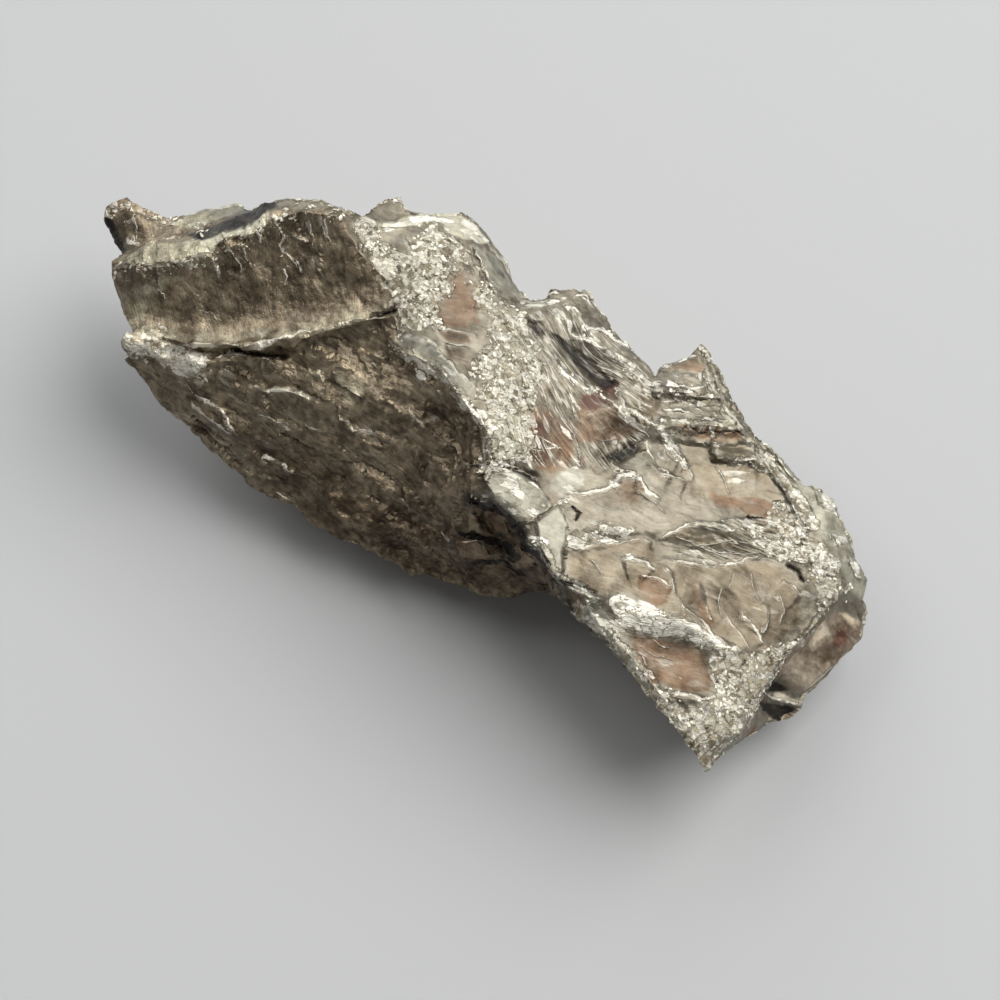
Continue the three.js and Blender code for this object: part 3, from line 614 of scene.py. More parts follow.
# %% Ledges of the dark wall
LEFT_CRUST = [
    (-27.6, 12.0), (-25.1, 12.0), (-23.6, 11.4), (-21.8, 10.7), (-20.9, 10.2), (-21.6, 9.3),
    (-23.2, 9.1), (-24.4, 9.9), (-25.6, 10.4), (-27.4, 10.8),
]
plate(LEFT_CRUST, 0.25, 0.5)
patch(LEFT_CRUST, "frost_and_glint", 1.0, 0.5)
patch(LEFT_CRUST, "cream", 0.6, 0.5)
step([(-15.6, 9.7), (-16.7, 10.3), (-18.1, 10.6), (-19.6, 10.7), (-20.9, 10.3)], 0.35, 1.2, 1.0)
MAIN_LEDGE = [(-12.2, 6.7), (-13.5, 7.3), (-14.6, 7.8), (-15.7, 8.1), (-17.0, 8.0), (-18.3, 8.4)]
step(MAIN_LEDGE, 0.42, 1.8, 1.0)
rail(MAIN_LEDGE, 0.05, 0.34)
rail([(-8.6, 4.5), (-9.6, 4.7), (-10.6, 4.9), (-11.2, 5.6), (-11.7, 6.1)], 0.05, 0.24)
step([(-18.9, 5.0), (-19.8, 6.1), (-21.4, 7.4), (-22.6, 8.2), (-23.7, 9.1)], 0.2, 1.2, 0.5)
step([(-19.5, 5.0), (-21.6, 6.4), (-22.7, 7.4)], 0.15, 0.9, 0.4)
step([(-10.4, 4.8), (-11.6, 5.9)], 0.25, 1.0, 0.6)
step([(-15.0, 2.2), (-16.6, 2.8), (-17.6, 3.3)], 0.22, 1.2, 0.5)
step([(-12.2, 4.2), (-10.2, 3.5), (-8.9, 2.8)], 0.3, 1.6)
step([(-9.5, 7.6), (-7.5, 6.5), (-4.3, 4.3), (-2.0, 2.6)], 0.3, 1.4)
step([(-13.5, -0.5), (-9.5, -2.3), (-5.5, -3.2), (-2.5, -3.6)], 0.3, 1.5)
step([(-18.5, 0.6), (-14.5, -1.9), (-10.5, -3.8)], 0.25, 1.2)
DARK_SLAB = [(-5.4, 7.2), (-3.9, 6.6), (-0.9, 4.2), (-1.1, 2.7), (-2.9, 2.7), (-4.3, 4.3), (-5.7, 5.7)]
plate(DARK_SLAB, -0.25)
patch(DARK_SLAB, "dark", 0.3, 0.4)
patch([(-23, 6.5), (-19, 5), (-15.5, 2), (-17, 0.6), (-21.5, 4)], "pale_and_sheen", 0.6, 1.6)
patch([(-14.0, 9.6), (-11.0, 9.4), (-8.6, 7.4), (-11.0, 6.8), (-13.4, 8.4)], "pale_and_sheen", 0.55, 1.6)
threads(
    0.1,
    [(-6.8, 6.6), (-5.6, 5.5)],
    [(-11.4, 5.9), (-10.9, 5.2)],
    [(-7.4, 0.0), (-6.5, -0.5)],
    [(-4.4, -2.2), (-3.4, -3.1)],
    [(-17.8, 6.4), (-16.0, 5.4), (-14.9, 5.0)],
    [(-14.2, 5.6), (-12.4, 4.9)],
    [(-9.4, 9.7), (-7.9, 8.7)],
    [(-16.6, 0.6), (-15.2, -0.4)],
    [(-8.6, 4.6), (-7.2, 3.7)],
)
report("ledges of the dark wall carved")

# %% Shade in the two dark scars
patch(
    [
        (-24, 8), (-19, 2.6), (-13.5, -2.2), (-8, -4.9), (-2, -6.2), (2.6, -6.6), (4.4, -6.0),
        (1.4, -3.0), (-4, -1.2), (-9.5, 0.4), (-16, 4.4),
    ],
    "shade", 1.0, 3.0,
)
patch(
    [(-16, 5.4), (-9.5, 2.0), (-4, 0.6), (-2, -3.0), (-8, -5.4), (-15, -2.4), (-20, 2.2)],
    "shade", 0.5, 2.4,
)
patch(
    [(-2.6, -0.3), (1.2, -1.8), (3.4, -5.6), (4.2, -7.2), (-1.5, -6.8), (-3.4, -3.4)],
    "shade", 0.75, 1.6,
)
patch(
    [(-5.6, 7.4), (-0.6, 4.6), (-1.1, 2.2), (-2.4, 0.0), (-6.5, 0.5), (-7.5, 3.5)],
    "shade", 0.45, 1.4,
)
patch([(-20.0, 17.0), (-9.5, 17.6), (-9.0, 14.8), (-19.0, 13.8)], "shade", 0.35, 2.2)
report("dark scars shaded")

# %% [markdown]
# ## The crest and the torn pocket
# Between the dark wall and the bright face the crest is torn open: a crack runs in from the left
# above a small pocket, darkened with painted shadow, whose walls carry thin gold-brown flakes.

# %% Crack, pocket and flakes
CREST = [(-7.6, 11.1), (-5.8, 9.8), (-3.8, 8.4), (-2.5, 6.9), (-1.2, 5.4), (-0.6, 4.1), (-0.8, 2.9)]
rail(CREST, 0.14, 0.42)
mark_line(CREST, "frost_and_glint", 0.85, 0.45)
groove([(-2.6, 2.6), (-1.3, 2.5), (0.1, 2.5), (1.4, 2.0), (2.2, 1.6), (3.0, 0.9)], 0.4, 0.26)
step([(3.0, 1.0), (2.2, 1.7), (1.4, 2.1), (0.1, 2.6), (-1.3, 2.6), (-3.0, 2.7)], 0.3, 1.0, 0.4)
CAVITY = [
    (-1.8, -0.2), (-0.4, -0.5), (0.4, -1.0), (1.2, -1.9), (0.8, -2.8), (0.0, -3.0), (-1.0, -2.3),
    (-1.7, -1.2),
]
# the pocket is sunk and darkened with painted shade, and its rim below the facet edge with painted shadow
plate(CAVITY, -0.45, 0.5)
patch(CAVITY, "shade", 1.0, 0.8)
CAVITY_RIM = [(-2.4, 0.0), (-1.3, -0.35), (-0.4, -0.6), (0.5, -1.2), (1.2, -2.0), (1.6, -3.0)]
mark_line(CAVITY_RIM, "dark", 1.0, 0.5)
groove(CAVITY_RIM, 0.7, 0.6)
FLAKES = (
    ([(-1.2, -1.1), (-0.5, -0.9), (0.1, -1.9), (0.4, -2.5), (-0.5, -2.4)], 0.35),
    ([(-2.4, -0.9), (-1.6, -1.3), (-1.5, -2.4), (-2.2, -2.2)], 0.2),
    ([(-3.0, -3.0), (-1.9, -2.9), (-0.6, -3.7), (-1.2, -4.3), (-2.8, -3.9)], 0.3),
    ([(0.9, -3.2), (1.9, -3.9), (2.4, -5.0), (1.2, -4.6)], 0.25),
)
for flake, rise in FLAKES:
    plate(flake, rise, 0.25)
    patch(flake, "rust", 0.7, 0.3)
    patch(flake, "cream", 1.0, 0.4)
groove([(-3.2, -2.0), (-1.7, -2.7), (0.3, -3.3), (1.6, -4.4)], 0.4, 0.42)
groove([(-2.2, -4.6), (0.2, -4.4), (2.2, -5.4)], 0.3, 0.24)
threads(
    0.1,
    [(-1.1, -1.0), (-0.5, -0.8), (0.3, -1.9)],
    [(-2.4, -0.8), (-1.6, -1.2)],
    [(-2.9, -3.0), (-1.8, -2.9), (-0.7, -3.6)],
)
groove([(1.5, -2.9), (2.3, -3.9), (3.4, -5.2)], 0.6, 0.45)
groove([(3.3, -5.7), (4.5, -5.8), (5.4, -6.0), (6.4, -6.5), (7.0, -6.9)], 0.4, 0.26)
GOLD_CHIP = [(4.3, -6.6), (5.4, -6.5), (5.8, -6.9), (5.5, -8.1), (4.8, -7.6)]
plate(GOLD_CHIP, -0.25, 0.3)
patch(GOLD_CHIP, "rust", 0.9, 0.3)
patch([(3.4, -5.6), (4.8, -5.9), (5.6, -8.2), (4.6, -8.0)], "dark", 0.55, 0.5)
report("crest and pocket carved")

# %% [markdown]
# ## The bright face
# The bright face is a stack of thin shells, each broken off a little short of the one below, so it
# is all fine curved ledges with rust-brown and pale patches between them, the pale partly painted sheen.

# %% Upper part: crumbs round a rusty patch, and a pale strip along the top
RUSTY = [
    (-3.6, 15.5), (-2.9, 16.4), (-2.2, 15.8), (-1.7, 14.2), (-1.5, 12.9), (-2.5, 12.2), (-4.1, 12.5),
    (-4.6, 13.5), (-3.9, 14.4),
]
plate(RUSTY, -0.1, 0.9)
patch(RUSTY, "rust", 1.0, 1.2)
patch(RUSTY, "shade", 0.35, 1.0)
RUSTY_SLIVER = [(-4.5, 12.3), (-2.1, 11.9), (-2.1, 11.2), (-3.8, 11.4)]
patch(RUSTY_SLIVER, "rust", 1.0, 0.3)
patch(RUSTY_SLIVER, "dark", 0.5, 0.3)
patch(RUSTY_SLIVER, "shade", 0.5, 0.4)
threads(
    0.1,
    [(-4.8, 12.6), (-3.4, 12.25), (-2.0, 12.0)],
    [(-4.0, 11.3), (-2.1, 11.05)],
    [(-5.8, 12.8), (-5.0, 12.4), (-4.6, 12.0)],
)
GREY_FLAT = [(-3.8, 11.0), (-1.9, 10.8), (-1.3, 9.5), (-1.7, 8.6), (-2.8, 9.5), (-3.8, 10.2)]
plate(GREY_FLAT, -0.14, 0.6)
patch(GREY_FLAT, "shade", 1.0, 0.6)
BLUE_FLAT = [
    (-7.6, 11.3), (-5.5, 11.8), (-4.4, 11.0), (-3.0, 9.3), (-1.9, 8.1), (-2.3, 7.5), (-3.8, 8.6),
    (-5.8, 9.9),
]
# painted sheen on the pale flat facet
patch(BLUE_FLAT, "pale_and_sheen", 1.0, 0.35)
step([(-1.9, 8.2), (-3.0, 9.3), (-4.4, 11.0), (-5.5, 11.8)], 0.18, 0.9, 0.6)
TOP_STRIP = [
    (-9.9, 20.4), (-8.7, 19.9), (-7.3, 20.0), (-5.9, 20.7), (-2.8, 20.9), (-0.6, 18.8), (-1.4, 18.6),
    (-2.5, 18.9), (-3.7, 19.4), (-4.5, 20.2), (-5.8, 19.9), (-7.2, 19.5), (-8.5, 19.3),
]
patch(TOP_STRIP, "cream", 1.0, 0.6)
patch(TOP_STRIP, "frost_and_glint", 0.6, 0.6)
patch(
    [(-2.3, 18.5), (-0.2, 18.0), (1.0, 15.4), (2.2, 14.6), (-0.2, 14.6), (-1.4, 17.3)],
    "pale_and_sheen", 0.7, 0.6,
)
patch([(-1.2, 18.0), (-0.4, 17.8), (0.6, 15.8), (-0.2, 16.1)], "dark", 0.55, 0.4)
rail([(-2.8, 20.8), (-0.6, 18.6), (0.4, 17.4), (1.2, 15.7), (2.2, 14.6)], 0.25, 0.26)
rail([(-9.9, 20.2), (-8.7, 19.6)], 0.25, 0.4)
rail([(-8.6, 19.8), (-6.6, 19.7)], 0.25, 0.3)
step([(-2.2, 18.4), (-1.5, 17.2), (-0.9, 15.6), (-0.2, 14.6)], 0.3, 1.3, 0.7)
step([(-7.3, 12.5), (-6.9, 14.2), (-6.2, 16.0), (-6.4, 18.0), (-7.2, 19.2)], 0.25, 1.2, 0.5)
HOLLOW = [(1.9, 13.1), (3.1, 12.7), (3.3, 11.7), (2.5, 11.5)]
plate(HOLLOW, -0.3, 0.5)
# painted shadow in the hollow
patch(HOLLOW, "dark", 0.7, 0.5)
threads(
    0.16,
    [(-0.8, 12.0), (0.4, 12.0), (1.4, 11.2)],
    [(1.6, 11.5), (2.5, 11.3), (3.4, 11.3)],
    [(1.7, 13.9), (3.0, 14.4), (3.4, 14.9), (4.5, 15.1)],
    [(5.2, 14.7), (6.3, 15.0), (7.1, 13.8)],
)
patch([(1.2, 13.4), (3.6, 15.2), (6.8, 15.2), (5.0, 12.4), (3.4, 13.4)], "frost_and_glint", 0.55, 0.8)
report("upper part carved")

# %% Middle: steep strands that run down to the right
# the third number of each sets how strong a highlight is painted on the ledge's edge
for line, rise, edge_highlight in (
    ([(9.3, 5.9), (8.4, 6.7), (6.9, 7.8), (5.4, 8.5), (4.3, 9.5), (3.7, 10.7)], 0.35, 1.0),
    ([(11.9, 4.6), (11.2, 5.4), (9.9, 6.2), (9.0, 6.8), (8.5, 7.8)], 0.4, 1.0),
    ([(13.6, 2.3), (12.5, 3.7), (11.4, 5.0)], 0.25, 0.7),
    ([(10.1, 9.0), (9.3, 9.6), (7.9, 10.7), (6.2, 11.8), (4.9, 12.0)], 0.35, 1.0),
    ([(9.8, 11.0), (8.5, 11.7), (7.4, 12.4), (6.2, 12.6)], 0.3, 1.0),
    ([(2.5, 1.9), (2.0, 2.8), (1.8, 4.2), (1.3, 6.1)], 0.25, 0.7),
    ([(4.5, 3.5), (4.0, 3.8), (3.0, 4.4), (1.8, 4.5)], 0.16, 0.8),
    ([(4.3, 3.75), (3.3, 3.6), (2.1, 3.5)], 0.14, 0.7),
    ([(8.0, 6.6), (7.1, 6.5), (6.1, 6.1)], 0.14, 0.6),
    ([(9.8, 1.6), (8.8, 1.6), (7.6, 0.9), (6.1, 0.6), (4.6, 0.8)], 0.22, 0.9),
    ([(9.9, 1.9), (8.7, 2.1), (8.0, 2.8)], 0.22, 0.9),
    ([(13.6, 1.5), (12.9, 1.7), (11.8, 2.0), (10.8, 2.8)], 0.25, 0.9),
    ([(10.6, 3.4), (10.5, 4.2), (9.3, 4.0)], 0.22, 0.9),
):
    step(line, 0.6 * rise, 1.6, edge_highlight, 0.4)
threads(
    0.08,
    [(2.7, 9.7), (3.5, 8.0), (4.6, 5.9), (5.6, 3.8), (6.2, 2.2)],
    [(3.7, 8.7), (4.9, 7.2), (5.4, 5.3)],
    [(1.6, 9.5), (2.0, 8.1), (2.6, 6.5)],
    [(5.4, 3.8), (5.9, 2.8), (6.1, 2.0)],
    [(-0.5, 2.8), (0.8, 2.8), (1.8, 2.9)],
    [(0.9, 2.6), (1.7, 3.5), (1.9, 4.0)],
    [(4.4, 8.0), (5.2, 6.6), (5.7, 5.2)],
    [(3.0, 7.2), (3.9, 5.4), (4.3, 4.6)],
    [(6.6, 4.4), (7.4, 4.1), (8.4, 4.5)],
    [(9.6, 6.4), (10.2, 5.0), (10.8, 4.4)],
)
BOLD_STRANDS = (
    [(10.1, 9.0), (9.3, 9.6), (7.9, 10.7), (6.2, 11.8)],
    [(9.8, 11.0), (8.5, 11.7), (7.4, 12.4), (6.2, 12.6)],
    [(9.3, 5.9), (8.4, 6.7), (6.9, 7.8), (5.4, 8.5), (4.3, 9.5)],
    [(11.9, 4.6), (11.2, 5.4), (9.9, 6.2), (9.0, 6.8)],
    [(11.4, 7.6), (10.3, 8.5), (8.9, 9.3)],
    [(13.4, 2.5), (12.5, 3.7), (11.6, 4.8)],
    [(9.8, 1.7), (8.8, 1.8), (8.0, 1.3)],
)
# the bold strands are white, partly painted glint
for strand in BOLD_STRANDS:
    rail(strand, 0.1, 0.17)
    mark_line(strand, "frost_and_glint", 1.0, 0.3)
report("steep strands carved")

# %% Middle: dark hollows and rusty patches
BLACK_WEDGE = [(3.8, 11.8), (5.4, 11.1), (6.9, 9.7), (8.3, 8.4), (7.5, 7.9), (6.0, 9.2), (4.7, 10.5)]
BLACK_FIBRES = [(7.5, 2.9), (8.4, 3.5), (9.3, 4.0), (10.2, 4.2), (9.9, 3.4), (8.7, 2.6)]
# the two hollows are sunk and blackened with painted shadow
for hole in (BLACK_WEDGE, BLACK_FIBRES):
    plate(hole, -0.3, 0.4)
    patch(hole, "dark", 0.85, 0.6)
    patch(hole, "strand", 1.0, 0.8)
patch(
    [(2.1, 6.2), (3.7, 6.3), (5.0, 4.6), (5.4, 3.1), (4.6, 2.0), (2.8, 2.0), (2.1, 3.1)],
    "rust", 1.0, 0.7,
)
patch([(2.2, 5.6), (3.4, 5.6), (3.6, 2.6), (2.5, 2.8)], "red", 0.65, 0.7)
RUSTY_HOLLOW = [
    (5.2, 5.6), (5.7, 7.2), (7.2, 7.9), (8.4, 7.2), (9.3, 6.0), (10.0, 4.9), (8.4, 4.3), (6.6, 3.8),
    (5.3, 4.2),
]
patch(RUSTY_HOLLOW, "rust", 1.0, 0.6)
patch([(5.6, 7.4), (7.2, 8.0), (7.8, 7.0), (7.0, 6.3), (6.1, 6.5)], "red", 0.9, 0.5)
patch([(2.0, 6.4), (5.4, 7.4), (9.6, 6.4), (9.4, 2.6), (5.0, 1.6), (2.2, 2.0)], "shade", 0.2, 1.2)
patch([(8.8, 6.4), (10.6, 8.8), (11.6, 6.6), (10.6, 4.8)], "brown", 0.8, 0.7)
patch([(3.2, 9.0), (5.0, 8.2), (6.0, 6.6), (4.4, 6.2), (3.0, 7.4)], "brown", 0.6, 0.9)
patch([(5.7, 7.3), (7.1, 7.8), (7.3, 6.9), (6.4, 6.8)], "red", 0.9, 0.4)
patch([(7.1, 8.2), (8.5, 8.5), (8.5, 7.2), (7.5, 7.5)], "red", 0.95, 0.4)
patch([(8.7, 6.3), (9.9, 5.9), (9.9, 4.9), (8.8, 5.3)], "red", 0.6, 0.6)
patch([(5.5, 2.9), (6.3, 3.2), (6.3, 2.2), (5.7, 2.0)], "red", 0.6, 0.4)
patch([(3.7, 1.4), (4.8, 2.1), (6.2, 1.8), (5.9, 0.9), (4.8, 0.5), (3.7, 0.8)], "pale_and_sheen", 0.9, 0.5)
patch([(-1.0, 5.6), (1.4, 6.6), (1.9, 3.6), (2.4, 1.8), (0.4, 2.8), (-0.8, 3.2)], "pale_and_sheen", 0.6, 0.7)
report("hollows carved")

# %% Middle: grey facets that stayed behind
GREY_FACET = [(-1.3, 1.9), (1.4, 2.1), (2.8, 1.1), (3.8, -0.4), (2.6, -1.1), (1.5, -1.7), (-0.2, -0.6)]
LOWER_FACET = [(2.6, -1.4), (4.2, -0.4), (4.9, -1.8), (4.4, -4.9), (3.9, -5.5), (2.9, -3.2)]
level(GREY_FACET, (2.4, 0.2))
plate(GREY_FACET, 0.12, 0.3)
patch(GREY_FACET, "pale_and_sheen", 0.75, 0.3)
patch(GREY_FACET, "frost_and_glint", 0.3, 0.5)
level(LOWER_FACET, (4.2, -2.4))
plate(LOWER_FACET, 0.15, 0.3)
patch(LOWER_FACET, "pale_and_sheen", 0.75, 0.3)
threads(
    0.09,
    [(1.5, -1.8), (2.6, -1.1), (3.7, -0.4), (4.8, 0.1), (5.3, 0.3)],
    [(2.9, -3.0), (2.7, -1.6)],
)
for chips in (
    [(0.0, 1.2), (0.9, 1.6), (1.7, 1.1), (1.2, 0.2), (0.4, 0.4)],
    [(4.2, -0.2), (4.8, 0.0), (5.2, -0.7), (4.8, -1.3), (4.3, -0.7)],
    [(5.0, -2.6), (5.4, -2.2), (6.1, -3.2), (5.3, -3.5), (4.8, -3.2)],
):
    patch(chips, "frost_and_glint", 0.6, 0.6)
groove([(5.2, -0.4), (5.7, -0.9), (5.4, -1.5)], 0.15, 0.08)
report("grey facets carved")

# %% Shells below the fin
# the third number of each sets how strong a highlight is painted on the ledge's edge
for line, rise, edge_highlight in (
    ([(14.9, 10.7), (13.7, 10.5), (12.8, 10.0), (11.6, 9.2)], 0.3, 1.0),
    ([(14.9, 9.05), (13.4, 9.0), (12.3, 8.9)], 0.3, 0.7),
    ([(15.1, 8.4), (13.9, 8.1), (12.5, 8.3)], 0.3, 0.8),
    ([(12.2, 8.2), (11.1, 8.1)], 0.3, 1.0),
    ([(16.4, 6.2), (15.0, 6.6), (13.7, 6.9), (12.5, 7.2), (11.4, 7.0)], 0.22, 0.7),
    ([(17.0, 5.8), (15.9, 6.0), (14.3, 6.2), (13.0, 6.6), (11.6, 6.4)], 0.22, 0.9),
    ([(13.7, 8.2), (13.1, 8.3), (11.9, 8.1), (10.9, 8.5)], 0.2, 0.9),
    ([(18.9, 2.9), (17.6, 2.9), (16.5, 3.0), (16.2, 3.5), (15.6, 4.1)], 0.3, 0.7),
    ([(12.6, 1.8), (11.3, 2.5), (10.4, 4.0)], 0.22, 0.9),
    ([(13.0, 2.4), (12.4, 2.9), (11.9, 3.6)], 0.22, 0.9),
    ([(14.2, 1.3), (13.8, 2.2), (13.2, 3.2), (12.6, 4.0)], 0.22, 0.8),
    ([(11.7, 0.2), (10.5, 0.7), (10.1, 1.7), (9.1, 1.8), (8.0, 2.0)], 0.25, 1.0),
):
    step(line, 0.45 * rise, 1.6, edge_highlight, 0.45)
groove([(12.0, 7.6), (13.0, 7.6), (14.0, 7.4), (15.8, 7.4)], 0.1, 0.07)
groove(
    [(13.0, 5.0), (13.6, 5.3), (14.4, 4.9), (14.9, 5.0), (16.3, 5.0), (17.2, 4.9), (18.2, 4.4)],
    0.12, 0.09,
)
patch([(12.8, 5.4), (14.6, 5.5), (18.3, 4.9), (18.0, 4.2), (14.4, 4.5), (13.0, 4.7)], "rust", 0.8, 0.5)
threads(
    0.09,
    [(15.7, 2.5), (16.2, 1.4), (16.7, 0.4)],
    [(15.4, 2.6), (16.0, 1.8), (16.3, 1.3)],
    [(12.2, 4.3), (12.7, 3.4), (13.3, 2.9)],
    [(9.2, 0.9), (10.2, 0.4), (11.4, -0.4), (12.0, -0.9)],
    [(6.8, 0.0), (8.0, -0.6), (9.4, -0.8)],
)
rail([(15.0, 10.4), (15.3, 8.9), (16.1, 7.4), (17.1, 6.1), (17.9, 4.9), (18.8, 3.6)], 0.3, 0.26)
rail([(17.7, 6.0), (19.3, 4.7), (20.2, 3.3), (21.2, 2.0), (22.1, 0.9)], 0.3, 0.2)
rail([(19.0, 3.4), (19.9, 1.8), (20.9, 0.4), (21.9, -1.4)], 0.3, 0.2)
patch([(12.1, 9.3), (14.1, 10.3), (14.9, 10.0), (14.7, 9.3)], "rust", 0.9, 0.3)
patch([(16.0, 5.2), (17.2, 4.9), (18.2, 3.7), (18.0, 3.0), (16.5, 3.0), (16.2, 3.6)], "brown", 0.9, 0.4)
patch(
    [
        (14.8, 1.0), (16.9, 0.3), (18.5, 0.2), (20.4, -0.4), (19.2, -1.4), (18.3, -1.2), (17.2, -0.6),
        (15.6, -0.1),
    ],
    "rust", 0.85, 0.4,
)
patch([(8.3, 1.3), (10.1, 1.5), (10.3, 0.7), (9.8, -0.1), (8.5, -0.2)], "rust", 0.7, 0.5)
patch(
    [(13.5, 4.6), (16.0, 4.4), (17.4, 2.6), (19.6, 2.6), (20.6, 0.0), (14.6, 0.2), (12.4, 1.4)],
    "brown", 0.6, 1.0,
)
groove([(17.6, -1.0), (18.3, -1.4), (19.3, -1.5)], 0.2, 0.1)
report("shells below the fin carved")

# %% The shelves' deep corners, filled a little, as dust and crumbs fill them
plate([(11.6, 4.2), (18.2, 4.0), (17.6, 5.1), (11.6, 5.2)], 0.3, 0.5)
plate([(11.4, 6.4), (16.4, 6.2), (16.2, 7.2), (11.3, 7.5)], 0.22, 0.6)
plate([(15.2, 3.0), (19.2, 2.4), (19.0, 3.2), (15.3, 4.0)], 0.55, 0.5)
report("deep corners filled")

# %% The long ledges across the lower part
PLATEAU = [
    (5.2, -3.4), (8.0, -3.0), (9.7, -2.7), (11.0, -3.4), (11.0, -4.2), (13.6, -4.6), (12.6, -8.0),
    (8.2, -6.5), (6.7, -6.5), (4.9, -5.0),
]
RIBBED = [
    (13.6, -4.6), (17.1, -4.8), (18.4, -4.5), (20.4, -5.0), (21.9, -6.6), (21.4, -8.8), (18.9, -10.8),
    (17.0, -10.8), (14.6, -9.0), (12.6, -8.0),
]
LENS = [
    (10.8, -3.0), (12.7, -2.1), (15.1, -1.8), (17.0, -2.6), (17.6, -3.4), (15.1, -3.5), (12.8, -2.8),
]
patch(PLATEAU, "brown", 0.85, 0.4)
patch(RIBBED, "brown", 0.95, 0.5)
patch(LENS, "brown", 0.8, 0.4)
patch(
    [(9.6, -5.2), (10.8, -5.4), (12.2, -6.2), (11.9, -7.1), (10.7, -7.7), (9.6, -6.7)],
    "rust", 0.9, 0.3,
)
patch([(13.2, -5.8), (14.2, -5.8), (15.2, -8.6), (14.4, -8.8)], "rust", 0.8, 0.5)
# the third number of each sets how strong a highlight is painted on the ledge's edge
for line, rise, edge_highlight in (
    ([(17.4, -2.5), (16.3, -1.9), (15.3, -1.5), (13.7, -1.7), (12.2, -2.2), (10.8, -3.0)], 0.3, 0.9),
    ([(11.0, -2.9), (9.7, -2.8), (8.3, -3.0), (6.8, -3.1), (5.3, -3.3)], 0.35, 0.5),
    ([(18.9, -4.0), (17.2, -4.5), (15.5, -4.8), (13.5, -4.4), (11.1, -4.0)], 0.25, 0.9),
    ([(10.9, -5.1), (10.2, -4.4), (9.3, -4.1), (8.4, -4.4)], 0.4, 1.0),
    (
        [
            (17.0, -10.9), (15.4, -9.8), (14.6, -8.7), (13.2, -7.7), (12.5, -6.7), (12.1, -5.2),
            (11.1, -4.2),
        ],
        0.2, 0.9,
    ),
    ([(20.5, -1.6), (18.9, -1.4), (17.2, -1.3), (15.6, -1.4)], 0.2, 1.0),
    ([(15.0, -8.7), (14.7, -7.1), (14.3, -5.9)], 0.22, 0.6),
    ([(17.8, -10.6), (17.3, -9.9), (16.6, -9.0), (16.0, -8.0)], 0.2, 0.7),
    ([(18.9, -10.3), (18.2, -9.3), (17.0, -7.8)], 0.2, 0.8),
    ([(18.6, -9.9), (19.1, -8.6), (19.0, -7.2)], 0.22, 0.6),
    ([(21.7, -7.0), (21.2, -6.3), (20.2, -5.5)], 0.25, 0.9),
    ([(12.3, -6.2), (11.4, -5.6), (9.7, -5.2)], 0.16, 0.5),
    ([(14.6, -9.2), (13.1, -8.5), (11.3, -8.0), (9.3, -7.7), (7.4, -6.9)], 0.2, 0.5),
):
    step(line, 0.45 * rise, 1.6, edge_highlight, 0.45)
threads(
    0.09,
    [(13.9, -1.9), (15.5, -1.8), (17.2, -2.1), (19.2, -3.0)],
    [(12.2, -2.4), (13.5, -3.0), (15.1, -3.7), (17.6, -4.1), (19.2, -3.8)],
    [(13.7, -3.3), (15.5, -3.1), (17.2, -3.0), (18.8, -3.5)],
    [(15.9, -6.0), (15.6, -7.4), (15.8, -8.6)],
    [(16.6, -5.2), (16.2, -6.4)],
    [(19.9, -6.6), (20.3, -7.8), (19.9, -9.0)],
    [(6.4, -4.1), (7.2, -5.2)],
    [(17.9, -5.2), (18.0, -6.4), (18.6, -7.4)],
)
report("long ledges carved")

# %% Fan of strands beside them
FAN = [
    (13.6, -1.9), (17.6, -1.3), (20.9, -1.5), (22.6, -3.0), (22.0, -4.6), (19.6, -4.2), (15.0, -4.6),
    (12.0, -3.4), (16.6, -3.0), (17.4, -2.3),
]
patch(FAN, "strand", 1.0, 0.8)
patch(
    [(17.8, -1.5), (20.9, -1.6), (22.8, -3.2), (22.0, -4.4), (19.4, -3.9), (18.2, -2.6)],
    "frost_and_glint", 0.75, 1.0,
)
patch([(5.3, -3.0), (6.4, -1.9), (7.8, -1.6), (9.5, -1.9), (8.9, -2.9), (6.8, -3.1)], "frost_and_glint", 0.8, 0.7)
patch([(8.4, -4.2), (9.3, -3.9), (10.3, -4.2), (11.0, -5.1), (10.0, -4.7)], "frost_and_glint", 0.9, 0.3)
report("fan marked")

# %% White bands and the red-brown plate near the tip
WHITE_BAND = [
    (7.6, -6.9), (8.5, -6.8), (9.4, -7.2), (11.0, -7.7), (12.6, -8.2), (14.4, -9.0), (16.6, -10.6),
    (13.9, -10.2), (11.9, -9.9), (10.3, -9.5), (9.1, -9.4), (8.0, -8.6),
]
NEAR_WHITE = [
    (5.9, -6.8), (6.9, -6.9), (7.5, -8.0), (8.4, -9.1), (9.3, -10.6), (8.8, -11.2), (7.3, -9.8),
    (6.2, -8.8),
]
RED_PLATE = [
    (9.3, -9.0), (11.6, -10.0), (14.2, -10.5), (15.0, -12.4), (14.9, -13.5), (12.7, -13.4),
    (10.9, -12.9), (9.5, -10.6),
]
plate(WHITE_BAND, 0.1, 0.7)
patch(WHITE_BAND, "frost_and_glint", 1.0, 0.7)
patch(WHITE_BAND, "pale_and_sheen", 0.6, 0.7)
patch(NEAR_WHITE, "frost_and_glint", 0.75, 0.7)
patch(NEAR_WHITE, "pale_and_sheen", 0.7, 0.5)
patch(PLATEAU, "shade", 0.18, 0.6)
patch(RIBBED, "shade", 0.2, 0.6)
plate(RED_PLATE, -0.07, 0.8)
patch(RED_PLATE, "rust", 0.95, 0.3)
patch([(9.3, -9.0), (10.6, -9.6), (10.6, -12.0), (9.6, -10.6)], "red", 0.45, 0.8)
step([(14.9, -14.1), (13.4, -13.6), (11.8, -13.5)], 0.3, 0.8, 1.0)
threads(
    0.07,
    [(9.7, -10.2), (11.0, -11.0), (12.4, -11.4)],
    [(10.2, -11.6), (11.6, -11.9), (13.0, -12.6)],
    [(10.6, -9.9), (12.2, -10.6)],
)
